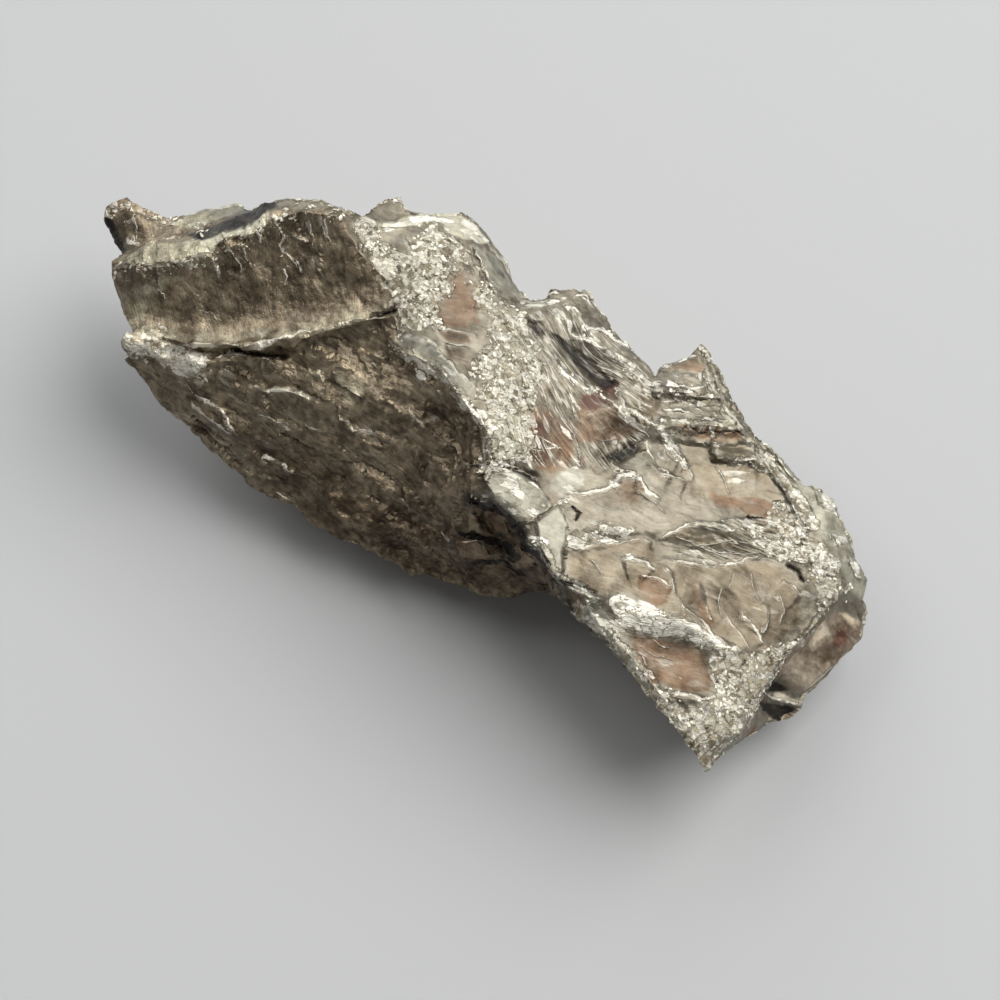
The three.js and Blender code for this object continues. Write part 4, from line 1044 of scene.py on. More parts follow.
rail([(5.9, -7.0), (6.7, -8.5), (7.6, -10.0)], 0.25, 0.26)
patch([(15.0, -11.0), (17.0, -11.4), (20.1, -11.9), (16.9, -16.8), (14.8, -14.5)], "frost_and_glint", 0.4, 0.8)
report("bands and plate carved")

# %% Pale border and the bright cluster at the right end
BORDER = [
    (20.4, 2.6), (23.2, 2.2), (26.2, -2.2), (28.2, -6.4), (27.2, -8.0), (25.6, -6.4), (23.6, -2.8),
    (22.0, -0.6),
]
# the pale border is partly painted sheen
patch(BORDER, "pale_and_sheen", 1.0, 0.6)
patch(BORDER, "cream", 0.35, 0.6)
BRIGHT_CLUSTER = [(22.0, -3.4), (23.4, -3.2), (24.8, -4.6), (25.0, -6.4), (23.6, -6.8), (22.6, -5.4)]
patch(BRIGHT_CLUSTER, "frost_and_glint", 0.9, 0.6)
groove([(20.5, -4.7), (21.5, -5.1), (21.9, -6.1)], 0.2, 0.12)
for chip in (
    [(22.8, 1.2), (23.8, 0.5), (24.7, -0.3), (24.4, -0.9), (23.0, -0.3)],
    [(24.2, -2.4), (25.4, -2.4), (25.6, -3.0), (24.5, -3.2)],
    [(25.6, -4.0), (26.3, -4.6), (26.6, -5.8), (25.9, -5.4)],
    [(21.3, -1.6), (22.2, -2.0), (22.3, -2.9), (21.5, -2.7)],
    [(22.2, -3.6), (23.1, -3.9), (23.2, -4.6), (22.4, -4.5)],
):
    plate(chip, 0.25, 0.25)
    patch(chip, "frost_and_glint", 1.0, 0.3)
report("border and cluster carved")

# %% The end lobe below the right step
PINK_SHELL = [
    (19.9, -12.4), (21.0, -10.8), (23.1, -9.2), (24.1, -8.3), (26.4, -8.6), (26.0, -11.0),
    (24.0, -12.8), (22.2, -14.2),
]
patch(PINK_SHELL, "rose", 1.0, 1.2)
# the pale and cream patches on the lobe are partly painted highlights
patch([(20.2, -12.5), (21.4, -10.8), (23.4, -11.4), (24.6, -12.2), (22.3, -14.1)], "pale_and_sheen", 0.65, 0.9)
patch([(24.3, -8.2), (26.2, -8.4), (26.4, -9.6), (25.6, -9.2)], "cream", 0.6, 0.7)
patch([(22.2, -9.8), (23.6, -8.9), (24.2, -10.2), (22.8, -11.0)], "pale_and_sheen", 1.0, 0.6)
patch([(22.4, -9.7), (23.4, -9.1), (23.9, -10.0), (22.9, -10.6)], "cream", 0.8, 0.8)
patch([(24.4, -9.6), (25.6, -9.4), (25.3, -10.8), (24.3, -10.9)], "red", 0.8, 0.6)
step([(22.1, -14.2), (23.9, -12.7), (25.9, -10.9)], 0.25, 1.2, 0.8)
step([(20.2, -11.4), (21.8, -9.4), (23.6, -7.6)], -0.3, 1.5)
# painted shadow under the lobe's step and below the rail
patch([(19.9, -12.9), (21.2, -14.0), (19.1, -13.9)], "dark", 1.0, 0.4)
rail([(19.2, -14.0), (20.8, -14.8), (22.2, -15.3)], 0.2, 0.22)
patch([(18.3, -14.3), (21.7, -15.4), (21.2, -16.3), (20.0, -16.0)], "dark", 1.0, 0.4)
patch([(17.3, -15.9), (18.5, -16.3), (18.5, -17.1), (17.6, -17.1)], "rust", 0.9, 0.4)
report("end lobe carved, which completes the show face")

# %% [markdown]
# ## The small relief of each kind of scar
# Named scars alone would leave smooth skin between them. Each zone gets the texture that carbon
# breaks with there: the scoop has faint hanging ribs, the dark wall is mottled with streaks that
# run down to the right, and the bright face is thin shells with crumbly shards near every edge.

# %% Zones, blurred so that their textures blend
dark_zone = blur(inside(DARK_SIDE, flat).astype(float), pairs, 0.5, 4) * shown
SCOOP = [
    (-31, 24), (-11.4, 20.8), (-8.7, 16.3), (-7.3, 13.2), (-12.9, 11.7), (-20.5, 11.2), (-23, 11.4),
    (-28, 12),
]
scoop_zone = blur(inside(SCOOP, flat).astype(float), pairs, 0.5, 4) * dark_zone
wall_zone = dark_zone - scoop_zone
bright_zone = np.clip(shown - dark_zone, 0, 1)
edge_zone = rim_zone.copy()
for line in BREAKS.values():
    index, distance, _, _ = near_line(line, carve_at, 2.0)
    edge_zone[index] = np.maximum(edge_zone[index], np.exp(-((distance / 0.7) ** 2)))
edge_zone = np.clip(edge_zone * (0.75 + 0.5 * waves(points, 2.2, 2, 21)), 0, 1)
print("share of the show face that is bright:", round(float(bright_zone.sum() / shown.sum()), 2))


# %% Where the surface crumbles
CRUMBLY = (
    [
        (-11, 20.9), (-9.7, 20.0), (-8.3, 19.3), (-6.4, 17.9), (-5.8, 16.7), (-6.3, 15.1), (-5.8, 13.5),
        (-5.4, 12.4), (-7.1, 12.3), (-7.5, 14.5), (-8.3, 16.3), (-10.3, 19.2),
    ],
    [
        (-6.8, 18.4), (-6.0, 19.4), (-4.2, 19.7), (-2.8, 19.2), (-1.4, 17.3), (-0.6, 15.4), (0.4, 14.5),
        (1.7, 13.3), (2.2, 12.1), (1.4, 11.3), (0.2, 12.1), (-1.4, 13.2), (-1.7, 15.0), (-2.4, 16.4),
        (-3.4, 16.4), (-4.2, 14.4), (-4.9, 13.2), (-4.4, 12.6), (-5.8, 12.6), (-6.2, 15.0),
    ],
    [
        (-27.4, 12.0), (-24.3, 11.9), (-22.2, 10.6), (-21.0, 9.6), (-22.8, 9.4), (-25.4, 10.8),
        (-27.4, 11.2),
    ],
    [
        (14.9, -10.8), (17.6, -10.7), (20.3, -11.3), (19.0, -13.8), (17.2, -16.8), (15.0, -18.8),
        (13.4, -17.8), (11.4, -14.4), (13.6, -14.2), (15.0, -13.6),
    ],
    [(-29.6, 22.0), (-27.0, 22.6), (-24.8, 21.4), (-25.8, 20.9), (-27.2, 21.0), (-28.8, 20.9)],
    [
        (-1.8, 9.4), (-1.1, 11.2), (0.6, 11.8), (2.2, 10.8), (2.8, 8.8), (2.4, 5.0), (1.4, 2.6),
        (-1.0, 2.4), (-0.6, 4.4), (-2.2, 7.2),
    ],
    [
        (18.4, -1.9), (20.2, -0.6), (21.6, -0.4), (22.8, -2.6), (24.0, -4.2), (25.2, -5.4),
        (25.0, -7.4), (23.2, -8.2), (22.4, -6.0), (22.2, -4.6), (20.6, -4.6), (19.0, -3.8),
    ],
)
crumbly_zone = np.zeros(len(points))
for outline in CRUMBLY:
    index, gap = depth_in(outline, carve_at)
    gap = gap + (0.9 * waves(points, 1.8, 3, 85) + 0.5 * jogs[:, 0])[index]
    crumbly_zone[index] = np.maximum(crumbly_zone[index], smooth_step(gap / 0.8 + 0.5))
named_crumbs = crumbly_zone * shown
crumbly_zone = np.maximum(crumbly_zone, 0.9 * edge_zone * bright_zone) * shown
print("share of the show face that crumbles:", round(float(crumbly_zone.sum() / shown.sum()), 2))

# %% Textures for every kind of scar
STREAKY = [(-1.5, 12), (1.5, 13.5), (5, 14.5), (12, 9), (10.5, 4), (8, 2), (3, 2), (0.5, 4)]
streak_axes = turned(flat, -33, 4.0)
rib_axes = turned(flat, -80, 6.0)
coarse_shards = shards(points, 1.9, 31)
fine_shards = shards(points, 0.7, 37)
wall_shards = shards(np.column_stack([streak_axes[:, :2], points[:, 2]]), 1.5, 39)
under_shards = shards(points, 4.5, 61)
streaky = np.zeros(len(points))
index, gap = depth_in(STREAKY, carve_at)
streaky[index] = smooth_step(gap / 1.5 + 0.5)
steep = shells(points, -62, 0.95, 0.9, 41)
broad = shells(points, -20, 1.7, 1.8, 43)
thin = shells(points, -35, 0.75, 1.2, 47)
shell = streaky * steep + (1 - streaky) * broad
sound = bright_zone * (1 - crumbly_zone)

hanging = turned(flat, -80, 3.0)
ribs = shards(np.column_stack([hanging[:, :2], 0.3 * points[:, 2]]), 1.0, 49)
near_crest = np.zeros(len(points))
index, distance, _, _ = near_line(BREAKS["scoop_top"] + [(-10.6, 18.6)], carve_at, 6.0)
near_crest[index] = np.exp(-((distance / 2.0) ** 2))
near_lip = np.zeros(len(points))
index, distance, _, _ = near_line(BREAKS["scoop_lip"], carve_at, 6.0)
near_lip[index] = np.exp(-((distance / 1.6) ** 2))
print("shards, shells and ribs ready")

# %% The way the scars run, which the material's stretched patterns follow
SHELL_RUN, STRAND_RUN, WALL_RUN, RIB_RUN, LOBE_RUN = -18.0, -62, -33, -78, -50  # degrees from x
LOBE = [(19, -14.5), (24, -7.6), (28, -8), (28, -17)]
flow_angle = np.full(len(points), SHELL_RUN)
flow_angle[streaky > 0.5] = STRAND_RUN
flow_angle[wall_zone > 0.5] = WALL_RUN
flow_angle[scoop_zone > 0.5] = RIB_RUN
flow_angle[inside(LOBE, flat)] = LOBE_RUN
flow_width = np.where(scoop_zone > 0.5, 1.2, np.where(streaky > 0.5, 1.1, 1.6))
bent = flat + 0.7 * np.column_stack([waves(points, 5.0, 2, 71), waves(points, 5.0, 2, 72)])
cosine, sine = np.cos(np.radians(flow_angle)), np.sin(np.radians(flow_angle))
along = bent[:, 0] * cosine + bent[:, 1] * sine
across = bent[:, 1] * cosine - bent[:, 0] * sine
# strands start steep and flatten to the right
fall = (bent[:, 1] + 2.0 * bent[:, 0] - 0.07 * bent[:, 0] ** 2) / 1.8
across = np.where(streaky > 0.5, fall, across)
flow = np.column_stack([along / (6.0 * flow_width), across / flow_width, points[:, 2] / (2 * flow_width)])
flow = np.where(shown[:, None] > 0.5, flow, points / 3.0)
print("directions used:", sorted(set(flow_angle.tolist())))

# %% Relief of each zone
rough = np.zeros(len(points))
rough += scoop_zone * (0.07 * waves(rib_axes, 0.8, 3, 51) + 0.09 * waves(points, 1.3, 3, 52))
rough += scoop_zone * 0.16 * ribs * (0.35 + near_crest)
mottled = 0.16 * waves(streak_axes, 1.0, 3, 53) + 0.3 * waves(points, 2.4, 4, 54, 0.6)
rough += wall_zone * (mottled + 0.2 * wall_shards)
rough += wall_zone * 0.12 * coarse_shards
rough += sound * (0.07 * (shell - 0.3) + 0.03 * (thin - 0.3) + 0.1 * waves(points, 4.0, 2, 55))
rough += crumbly_zone * (0.05 * coarse_shards + 0.08 * fine_shards)
rough += edge_zone * (1 - rim_zone) * dark_zone * 0.1 * fine_shards
rough += rim_zone * (0.14 * waves(points, 1.6, 3, 57) + 0.05 * fine_shards)
rough += (1 - shown) * (1 - rim_zone) * (0.35 * under_shards + 0.22 * coarse_shards)
print("relief along the normals, mm:", round(rough.min(), 2), "to", round(rough.max(), 2))

# %% Room for crumbs
masks["crumb"] = crumbly_zone
crest_zone = np.zeros(len(points))
for line in (CREST, BREAKS["spur_crest"], BREAKS["scoop_top"]):
    index, distance, _, _ = near_line(line, carve_at, 1.2)
    crest_zone[index] = np.maximum(crest_zone[index], np.exp(-((distance / 0.4) ** 2)))
crumb_room = np.maximum(np.maximum(named_crumbs, 0.14 * edge_zone * bright_zone), crest_zone)
crumb_room *= 0.6 + 0.4 * masks["frost_and_glint"]
crumb_room = np.maximum(crumb_room, 0.45 * (masks["frost_and_glint"] > 0.7)) * shown
clumps = np.clip(0.7 + 0.9 * waves(points, 1.3, 2, 81), 0.1, 1.3)
crumb_room *= clumps * smooth_step(np.abs(gaps["crack"]) / 0.3)  # cracks stay open
print("crumbs have room on", int((crumb_room > 0.1).sum()), "vertices")

# %% Last touches to the masks
# white flakes, partly painted glint, along the edges of the bright face
masks["frost_and_glint"] = np.maximum(masks["frost_and_glint"], 0.3 * edge_zone * bright_zone)
fibred = 0.6 * streaky
index, gap = depth_in(RUSTY_HOLLOW, carve_at)
fibred[index] *= 1 - 0.75 * smooth_step(gap / 0.8 + 0.5)
masks["strand"] = np.maximum(masks["strand"], fibred)
masks["frost_and_glint"] = np.maximum(masks["frost_and_glint"], 0.2 * fibred)
# a pale painted sheen on the scoop, strongest at its lip
masks["pale_and_sheen"] = np.maximum(masks["pale_and_sheen"], scoop_zone * 0.65 * near_lip)
seam = np.zeros(len(points))
a, b = pairs
seam[a[flow_angle[a] != flow_angle[b]]] = 1
seam[b[flow_angle[a] != flow_angle[b]]] = 1
masks["seam"] = np.clip(2 * blur(seam, pairs, 0.5, 2), 0, 1)

masks["frost_and_glint"] *= np.clip(0.85 + 0.9 * waves(points, 1.1, 2, 83), 0.35, 1.1)
print("strongest frost:", round(masks["frost_and_glint"].max(), 2))


# %% Carve, and keep the rest facet flat
STEEP = 0.4  # z of the normal below which the show face's thin lines fade out


def vertex_normals(p, t):
    """Area-weighted unit normals."""
    normal, area = corner_normals(p, t)
    weighted = normal * area[:, None]
    total = np.zeros((len(p), 3))
    for axis in range(3):
        for corner in range(3):
            total[:, axis] += np.bincount(t[:, corner], weighted[:, axis], len(p))
    return total / np.maximum(np.linalg.norm(total, axis=1), 1e-12)[:, None]


rest_guard = 1 - blur(on_rest.astype(float), pairs, 0.5, 3)
normals = vertex_normals(points, triangles)
upright = smooth_step(normals[:, 2] / STEEP)  # 0 on the steep walls below the rim, 1 on the show face
masks["strand"] *= upright
CRUMB_CLEARANCE = 0.3  # millimetres above the rest plane, so that no crumb reaches below it
carved = points + normals * (rough * rest_guard)[:, None]
carved[:, 2] += lift * rest_guard
floor_z = -math.tan(LEAN) * carved[:, 1]
carved[:, 2] = np.maximum(carved[:, 2], floor_z)
crumb_room *= carved[:, 2] > floor_z + CRUMB_CLEARANCE
print("vertices moved by up to", round(np.linalg.norm(carved - points, axis=1).max(), 2), "mm")

# %% [markdown]
# ## Build the visible stone
# The arrays become one closed mesh. Its masks and its distances to the thin lines go along as
# attributes on the vertices, so that the material can follow the scars. The crumbly zones and the
# broken edges are shaded flat, triangle by triangle, because real crumbs glint one by one. The rest
# is shaded smooth, apart from sharp edges where the surface turns by more than 24 degrees.


# %% One mesh from the arrays
def build_piece(name, p, t, flat_faces):
    """A mesh object at the origin from face-up millimetres."""
    mesh = bpy.data.meshes.new(name)
    mesh.vertices.add(len(p))
    mesh.vertices.foreach_set("co", to_row(p).ravel())
    mesh.loops.add(3 * len(t))
    mesh.loops.foreach_set("vertex_index", t.ravel().astype(np.int32))
    mesh.polygons.add(len(t))
    mesh.polygons.foreach_set("loop_start", (3 * np.arange(len(t))).astype(np.int32))
    mesh.polygons.foreach_set("use_smooth", ~flat_faces)
    mesh.update(calc_edges=True)
    obj = bpy.data.objects.new(name, mesh)
    bpy.context.collection.objects.link(obj)
    return obj


def put_attribute(obj, name, values):
    """Keeps one number for each vertex under a name that materials and node trees can read."""
    layer = obj.data.attributes.new(name, "FLOAT", "POINT")
    layer.data.foreach_set("value", np.asarray(values, dtype=np.float32))


SHARP_ANGLE = math.radians(24)
crisp = np.maximum(crumbly_zone, 0.9 * edge_zone)[triangles].mean(axis=1) > 0.45
stone = build_piece("shungite", carved, triangles, crisp)
for name, values in masks.items():
    put_attribute(stone, name, values)
for name, values in gaps.items():
    put_attribute(stone, name, np.where(shown > 0.5, np.clip(values, -1, 1), 1))
for name, values in nears.items():
    put_attribute(stone, name + "_near", values * shown * upright)
for name, values in halves.items():
    put_attribute(stone, name + "_half", values)
put_attribute(stone, "shine", bright_zone)
put_attribute(stone, "crumb_room", crumb_room)
flow_layer = stone.data.attributes.new("flow", "FLOAT_VECTOR", "POINT")
flow_layer.data.foreach_set("vector", flow.astype(np.float32).ravel())
stone.data.set_sharp_from_angle(angle=SHARP_ANGLE)
print(len(stone.data.vertices), "vertices,", len(stone.data.polygons), "faces")
print("nothing to repair in the mesh:", not stone.data.validate())

# %% [markdown]
# ## The finish of glassy carbon
# Elite shungite shines like dull silver where it is freshly broken and is brown-grey where dust
# sits in the scar. It is neither plastic nor true metal, so a mostly metallic surface with a
# medium roughness comes closest, and fine bump gives the sparkle between the carved ledges.


# %% A small kit for node trees
def add_node(tree, kind, **settings):
    """A new node with some of its settings."""
    node = tree.nodes.new(kind)
    for key, value in settings.items():
        setattr(node, key, value)
    return node


def noise_node(tree, coords, scale, detail=4.0, roughness=0.55):
    """A noise texture read at the given coordinates."""
    node = add_node(tree, "ShaderNodeTexNoise")
    node.inputs["Scale"].default_value = scale
    node.inputs["Detail"].default_value = detail
    node.inputs["Roughness"].default_value = roughness
    tree.links.new(coords, node.inputs["Vector"])
    return node


def spread(tree, value, low, high, to_low=0.0, to_high=1.0):
    """Maps low..high onto to_low..to_high, clamped."""
    node = add_node(tree, "ShaderNodeMapRange")
    for socket, number in zip(("From Min", "From Max", "To Min", "To Max"), (low, high, to_low, to_high)):
        node.inputs[socket].default_value = number
    tree.links.new(value, node.inputs["Value"])
    return node.outputs["Result"]


def arithmetic(tree, operation, a, b):
    """A Math node; a and b are each a socket or a number."""
    node = add_node(tree, "ShaderNodeMath", operation=operation)
    for socket, value in zip(node.inputs, (a, b)):
        if isinstance(value, (int, float)):
            socket.default_value = value
        else:
            tree.links.new(value, socket)
    return node.outputs[0]


def tint(tree, factor, a, b, blend="MIX"):
    """Mixes two colours; each is a socket or an (r, g, b)."""
    node = add_node(tree, "ShaderNodeMix", data_type="RGBA", blend_type=blend)
    for socket, value in ((node.inputs[0], factor), (node.inputs[6], a), (node.inputs[7], b)):
        if isinstance(value, (int, float)):
            socket.default_value = value
        elif isinstance(value, tuple):
            socket.default_value = (*value, 1.0)
        else:
            tree.links.new(value, socket)
    return node.outputs[2]


print("node kit ready")

# %% [markdown]
# ## Three looks of broken carbon
# The clouded grain is the skin of every scar and of the crumbs too. White flakes stand where shells
# splintered, and part of their white is painted glint. Hackle lines are the hair-thin ledges that a
# fast break leaves, with a highlight painted on their edges. They could be painted by hand, but
# cells and contour lines of noise give the same broken edges at any size. Each look is a group with
# named inputs and outputs, so that a material only says how much it wants.


# %% Carbon grain, a group that both the stone and its crumbs use
CLOUD_SCALE, PIT_SCALE = 480.0, 1900.0  # per metre
DULL_CARBON = ((0.095, 0.071, 0.045), (0.385, 0.318, 0.22))  # darkest and lightest, dusty scars
FRESH_CARBON = ((0.115, 0.098, 0.07), (0.225, 0.21, 0.168))  # darkest and lightest, fresh breaks


def make_grain():
    """Clouded carbon with pits and flecks: Fresh goes from a dusty scar (0) to a new break (1)."""
    tree = bpy.data.node_groups.new("carbon_grain", "ShaderNodeTree")
    for name, kind in (("Vector", "NodeSocketVector"), ("Fresh", "NodeSocketFloat")):
        tree.interface.new_socket(name, in_out="INPUT", socket_type=kind)
    tree.interface.new_socket("Color", in_out="OUTPUT", socket_type="NodeSocketColor")
    for name in ("Roughness", "Height"):
        tree.interface.new_socket(name, in_out="OUTPUT", socket_type="NodeSocketFloat")
    source = add_node(tree, "NodeGroupInput")
    sink = add_node(tree, "NodeGroupOutput")
    where, fresh = source.outputs["Vector"], source.outputs["Fresh"]

    cloud = noise_node(tree, where, CLOUD_SCALE, 5.0, 0.68).outputs["Fac"]
    grit = noise_node(tree, where, PIT_SCALE, 3.0, 0.65).outputs["Fac"]
    tone = spread(tree, cloud, 0.34, 0.66)
    dull = tint(tree, tone, *DULL_CARBON)
    silver = tint(tree, tone, *FRESH_CARBON)
    colour = tint(tree, fresh, dull, silver)
    calm = spread(tree, fresh, 0.0, 1.0, 1.0, 0.55)
    pits = arithmetic(tree, "MULTIPLY", spread(tree, grit, 0.32, 0.52, 0.6, 0.0), calm)
    flecks = arithmetic(tree, "MULTIPLY", spread(tree, grit, 0.56, 0.74, 0.0, 0.3), calm)
    colour = tint(tree, pits, colour, (0.045, 0.037, 0.028))
    colour = tint(tree, flecks, colour, (0.62, 0.58, 0.5))
    tree.links.new(colour, sink.inputs["Color"])
    gritty = spread(tree, grit, 0.3, 0.7, 0.34, 0.54)
    rough = arithmetic(tree, "MULTIPLY", gritty, spread(tree, fresh, 0.0, 1.0, 1.0, 1.02))
    tree.links.new(rough, sink.inputs["Roughness"])
    swell = arithmetic(tree, "MULTIPLY", cloud, 0.8)
    height = arithmetic(tree, "ADD", swell, arithmetic(tree, "MULTIPLY", grit, 0.3))
    tree.links.new(height, sink.inputs["Height"])
    return tree


GRAIN = make_grain()
print("shared group:", GRAIN.name)


# %% Splinters, the group for white broken flakes
def make_splinters():
    """Angular cells, each tilted its own way and with its own chance of being white, and thin gaps."""
    tree = bpy.data.node_groups.new("broken_splinters", "ShaderNodeTree")
    for name, kind in (("Vector", "NodeSocketVector"), ("Cover", "NodeSocketFloat")):
        tree.interface.new_socket(name, in_out="INPUT", socket_type=kind)
    for name in ("White", "Gap", "Tone", "Height"):
        tree.interface.new_socket(name, in_out="OUTPUT", socket_type="NodeSocketFloat")
    source = add_node(tree, "NodeGroupInput")
    sink = add_node(tree, "NodeGroupOutput")
    shaken = add_node(tree, "ShaderNodeMix", data_type="VECTOR")
    shaken.inputs[0].default_value = 0.4
    tree.links.new(source.outputs["Vector"], shaken.inputs[4])
    tree.links.new(noise_node(tree, source.outputs["Vector"], 4.0, 4.0).outputs["Color"], shaken.inputs[5])
    cells = add_node(tree, "ShaderNodeTexVoronoi", feature="F1")
    borders = add_node(tree, "ShaderNodeTexVoronoi", feature="DISTANCE_TO_EDGE")
    for node in (cells, borders):
        node.inputs["Scale"].default_value = 1.5
        tree.links.new(shaken.outputs[1], node.inputs["Vector"])
    chance = add_node(tree, "ShaderNodeSeparateColor")
    tree.links.new(cells.outputs["Color"], chance.inputs["Color"])
    solid = spread(tree, borders.outputs["Distance"], 0.0, 0.07)
    short = arithmetic(tree, "SUBTRACT", source.outputs["Cover"], chance.outputs["Red"])
    white = spread(tree, short, -0.03, 0.05)
    some = spread(tree, source.outputs["Cover"], 0.05, 0.3)
    tree.links.new(arithmetic(tree, "MULTIPLY", white, solid), sink.inputs["White"])
    gap = arithmetic(tree, "SUBTRACT", 1.0, solid)
    tree.links.new(arithmetic(tree, "MULTIPLY", gap, some), sink.inputs["Gap"])
    tree.links.new(chance.outputs["Green"], sink.inputs["Tone"])
    offset = add_node(tree, "ShaderNodeVectorMath", operation="SUBTRACT")
    tree.links.new(shaken.outputs[1], offset.inputs[0])
    tree.links.new(cells.outputs["Position"], offset.inputs[1])
    leaning = add_node(tree, "ShaderNodeVectorMath", operation="SUBTRACT")
    tree.links.new(cells.outputs["Color"], leaning.inputs[0])
    leaning.inputs[1].default_value = (0.5, 0.5, 0.5)
    slope = add_node(tree, "ShaderNodeVectorMath", operation="DOT_PRODUCT")
    tree.links.new(offset.outputs[0], slope.inputs[0])
    tree.links.new(leaning.outputs[0], slope.inputs[1])
    tilted = arithmetic(tree, "MULTIPLY", slope.outputs["Value"], 3.0)
    tree.links.new(arithmetic(tree, "MULTIPLY", tilted, some), sink.inputs["Height"])
    return tree


SPLINTERS = make_splinters()
print("second group:", SPLINTERS.name)


# %% Hackle, the group for hair-thin ledges
def make_hackle():
    """Thin ledges, contour lines of a stretched ragged noise: their height and a painted edge highlight."""
    tree = bpy.data.node_groups.new("hackle_lines", "ShaderNodeTree")
    tree.interface.new_socket("Vector", in_out="INPUT", socket_type="NodeSocketVector")
    tree.interface.new_socket("Layers", in_out="INPUT", socket_type="NodeSocketFloat")
    for name in ("Height", "Edge"):
        tree.interface.new_socket(name, in_out="OUTPUT", socket_type="NodeSocketFloat")
    source = add_node(tree, "NodeGroupInput")
    sink = add_node(tree, "NodeGroupOutput")
    field = noise_node(tree, source.outputs["Vector"], 1.3, 3.5, 0.58)
    layer = arithmetic(tree, "MULTIPLY", field.outputs["Fac"], source.outputs["Layers"])
    tooth = arithmetic(tree, "FRACT", layer, 0.0)
    rise = spread(tree, tooth, 0.0, 0.88)
    fall = spread(tree, tooth, 0.9, 1.0, 1.0, 0.0)
    tree.links.new(arithmetic(tree, "MULTIPLY", rise, fall), sink.inputs["Height"])
    tree.links.new(arithmetic(tree, "MULTIPLY", spread(tree, tooth, 0.72, 0.88), fall), sink.inputs["Edge"])
    return tree


HACKLE = make_hackle()
print("third group:", HACKLE.name)


# %% [markdown]
# ## The stone's own finish
# The masks on the mesh say where the stone is rusty, red, brown, rose, pale or cream, and where
# shade, shadow, sheen, highlights and glints are painted on it; the kept distances say where the
# highlights painted on its edges and its dark cracks run. Plain masks would have soft borders, so
# most are torn up by fine noise first. The thin lines are drawn here and not on the mesh, because
# they are narrower than its triangles.

# %% Colours of the stone's finish
RUST = (0.84, 0.58, 0.42)  # this colour and the next seven multiply the grain's own
RED = (0.5, 0.29, 0.26)
ROSE = (1.62, 1.42, 1.36)
BROWN = (0.9, 0.83, 0.74)
SHADE = (0.34, 0.29, 0.25)
CRUMB = (1.35, 1.33, 1.25)
# colours of the pale masks, partly painted sheen, on the dull face and on the bright one
PALE_SHEEN_DULL, PALE_SHEEN_BRIGHT = (1.35, 1.5, 1.55), (1.37, 1.47, 1.51)  # on the dull and the bright face
CREAM = (0.62, 0.6, 0.46)  # this colour and the rest lie over the grain
SHADOW_BLACK = (0.016, 0.014, 0.013)
# colours of the highlights painted on ledges and threads, on the dull face and on the bright one
EDGE_HIGHLIGHT_DULL, EDGE_HIGHLIGHT_BRIGHT = (0.95, 0.9, 0.78), (0.6, 0.575, 0.49)
# colours of the white flakes and painted glints, on the dull face and on the bright one
FLAKE_GLINT_DULL, FLAKE_GLINT_BRIGHT = (0.95, 0.92, 0.83), (0.82, 0.805, 0.72)
print("deepest gaps reflect", round(100 * SHADOW_BLACK[0], 1), "percent of the light")


# %% The stone's material
GRIT_SCALE = 1500.0  # per metre, the finest noise, which frays borders and lines
GAIT_SCALE = 650.0  # per metre, a coarser one, which makes lines come and go
BUMP_DEPTH = 0.0002  # metres


def attribute_value(tree, name):
    """Reads one number of the mesh's vertices."""
    return add_node(tree, "ShaderNodeAttribute", attribute_name=name).outputs["Fac"]


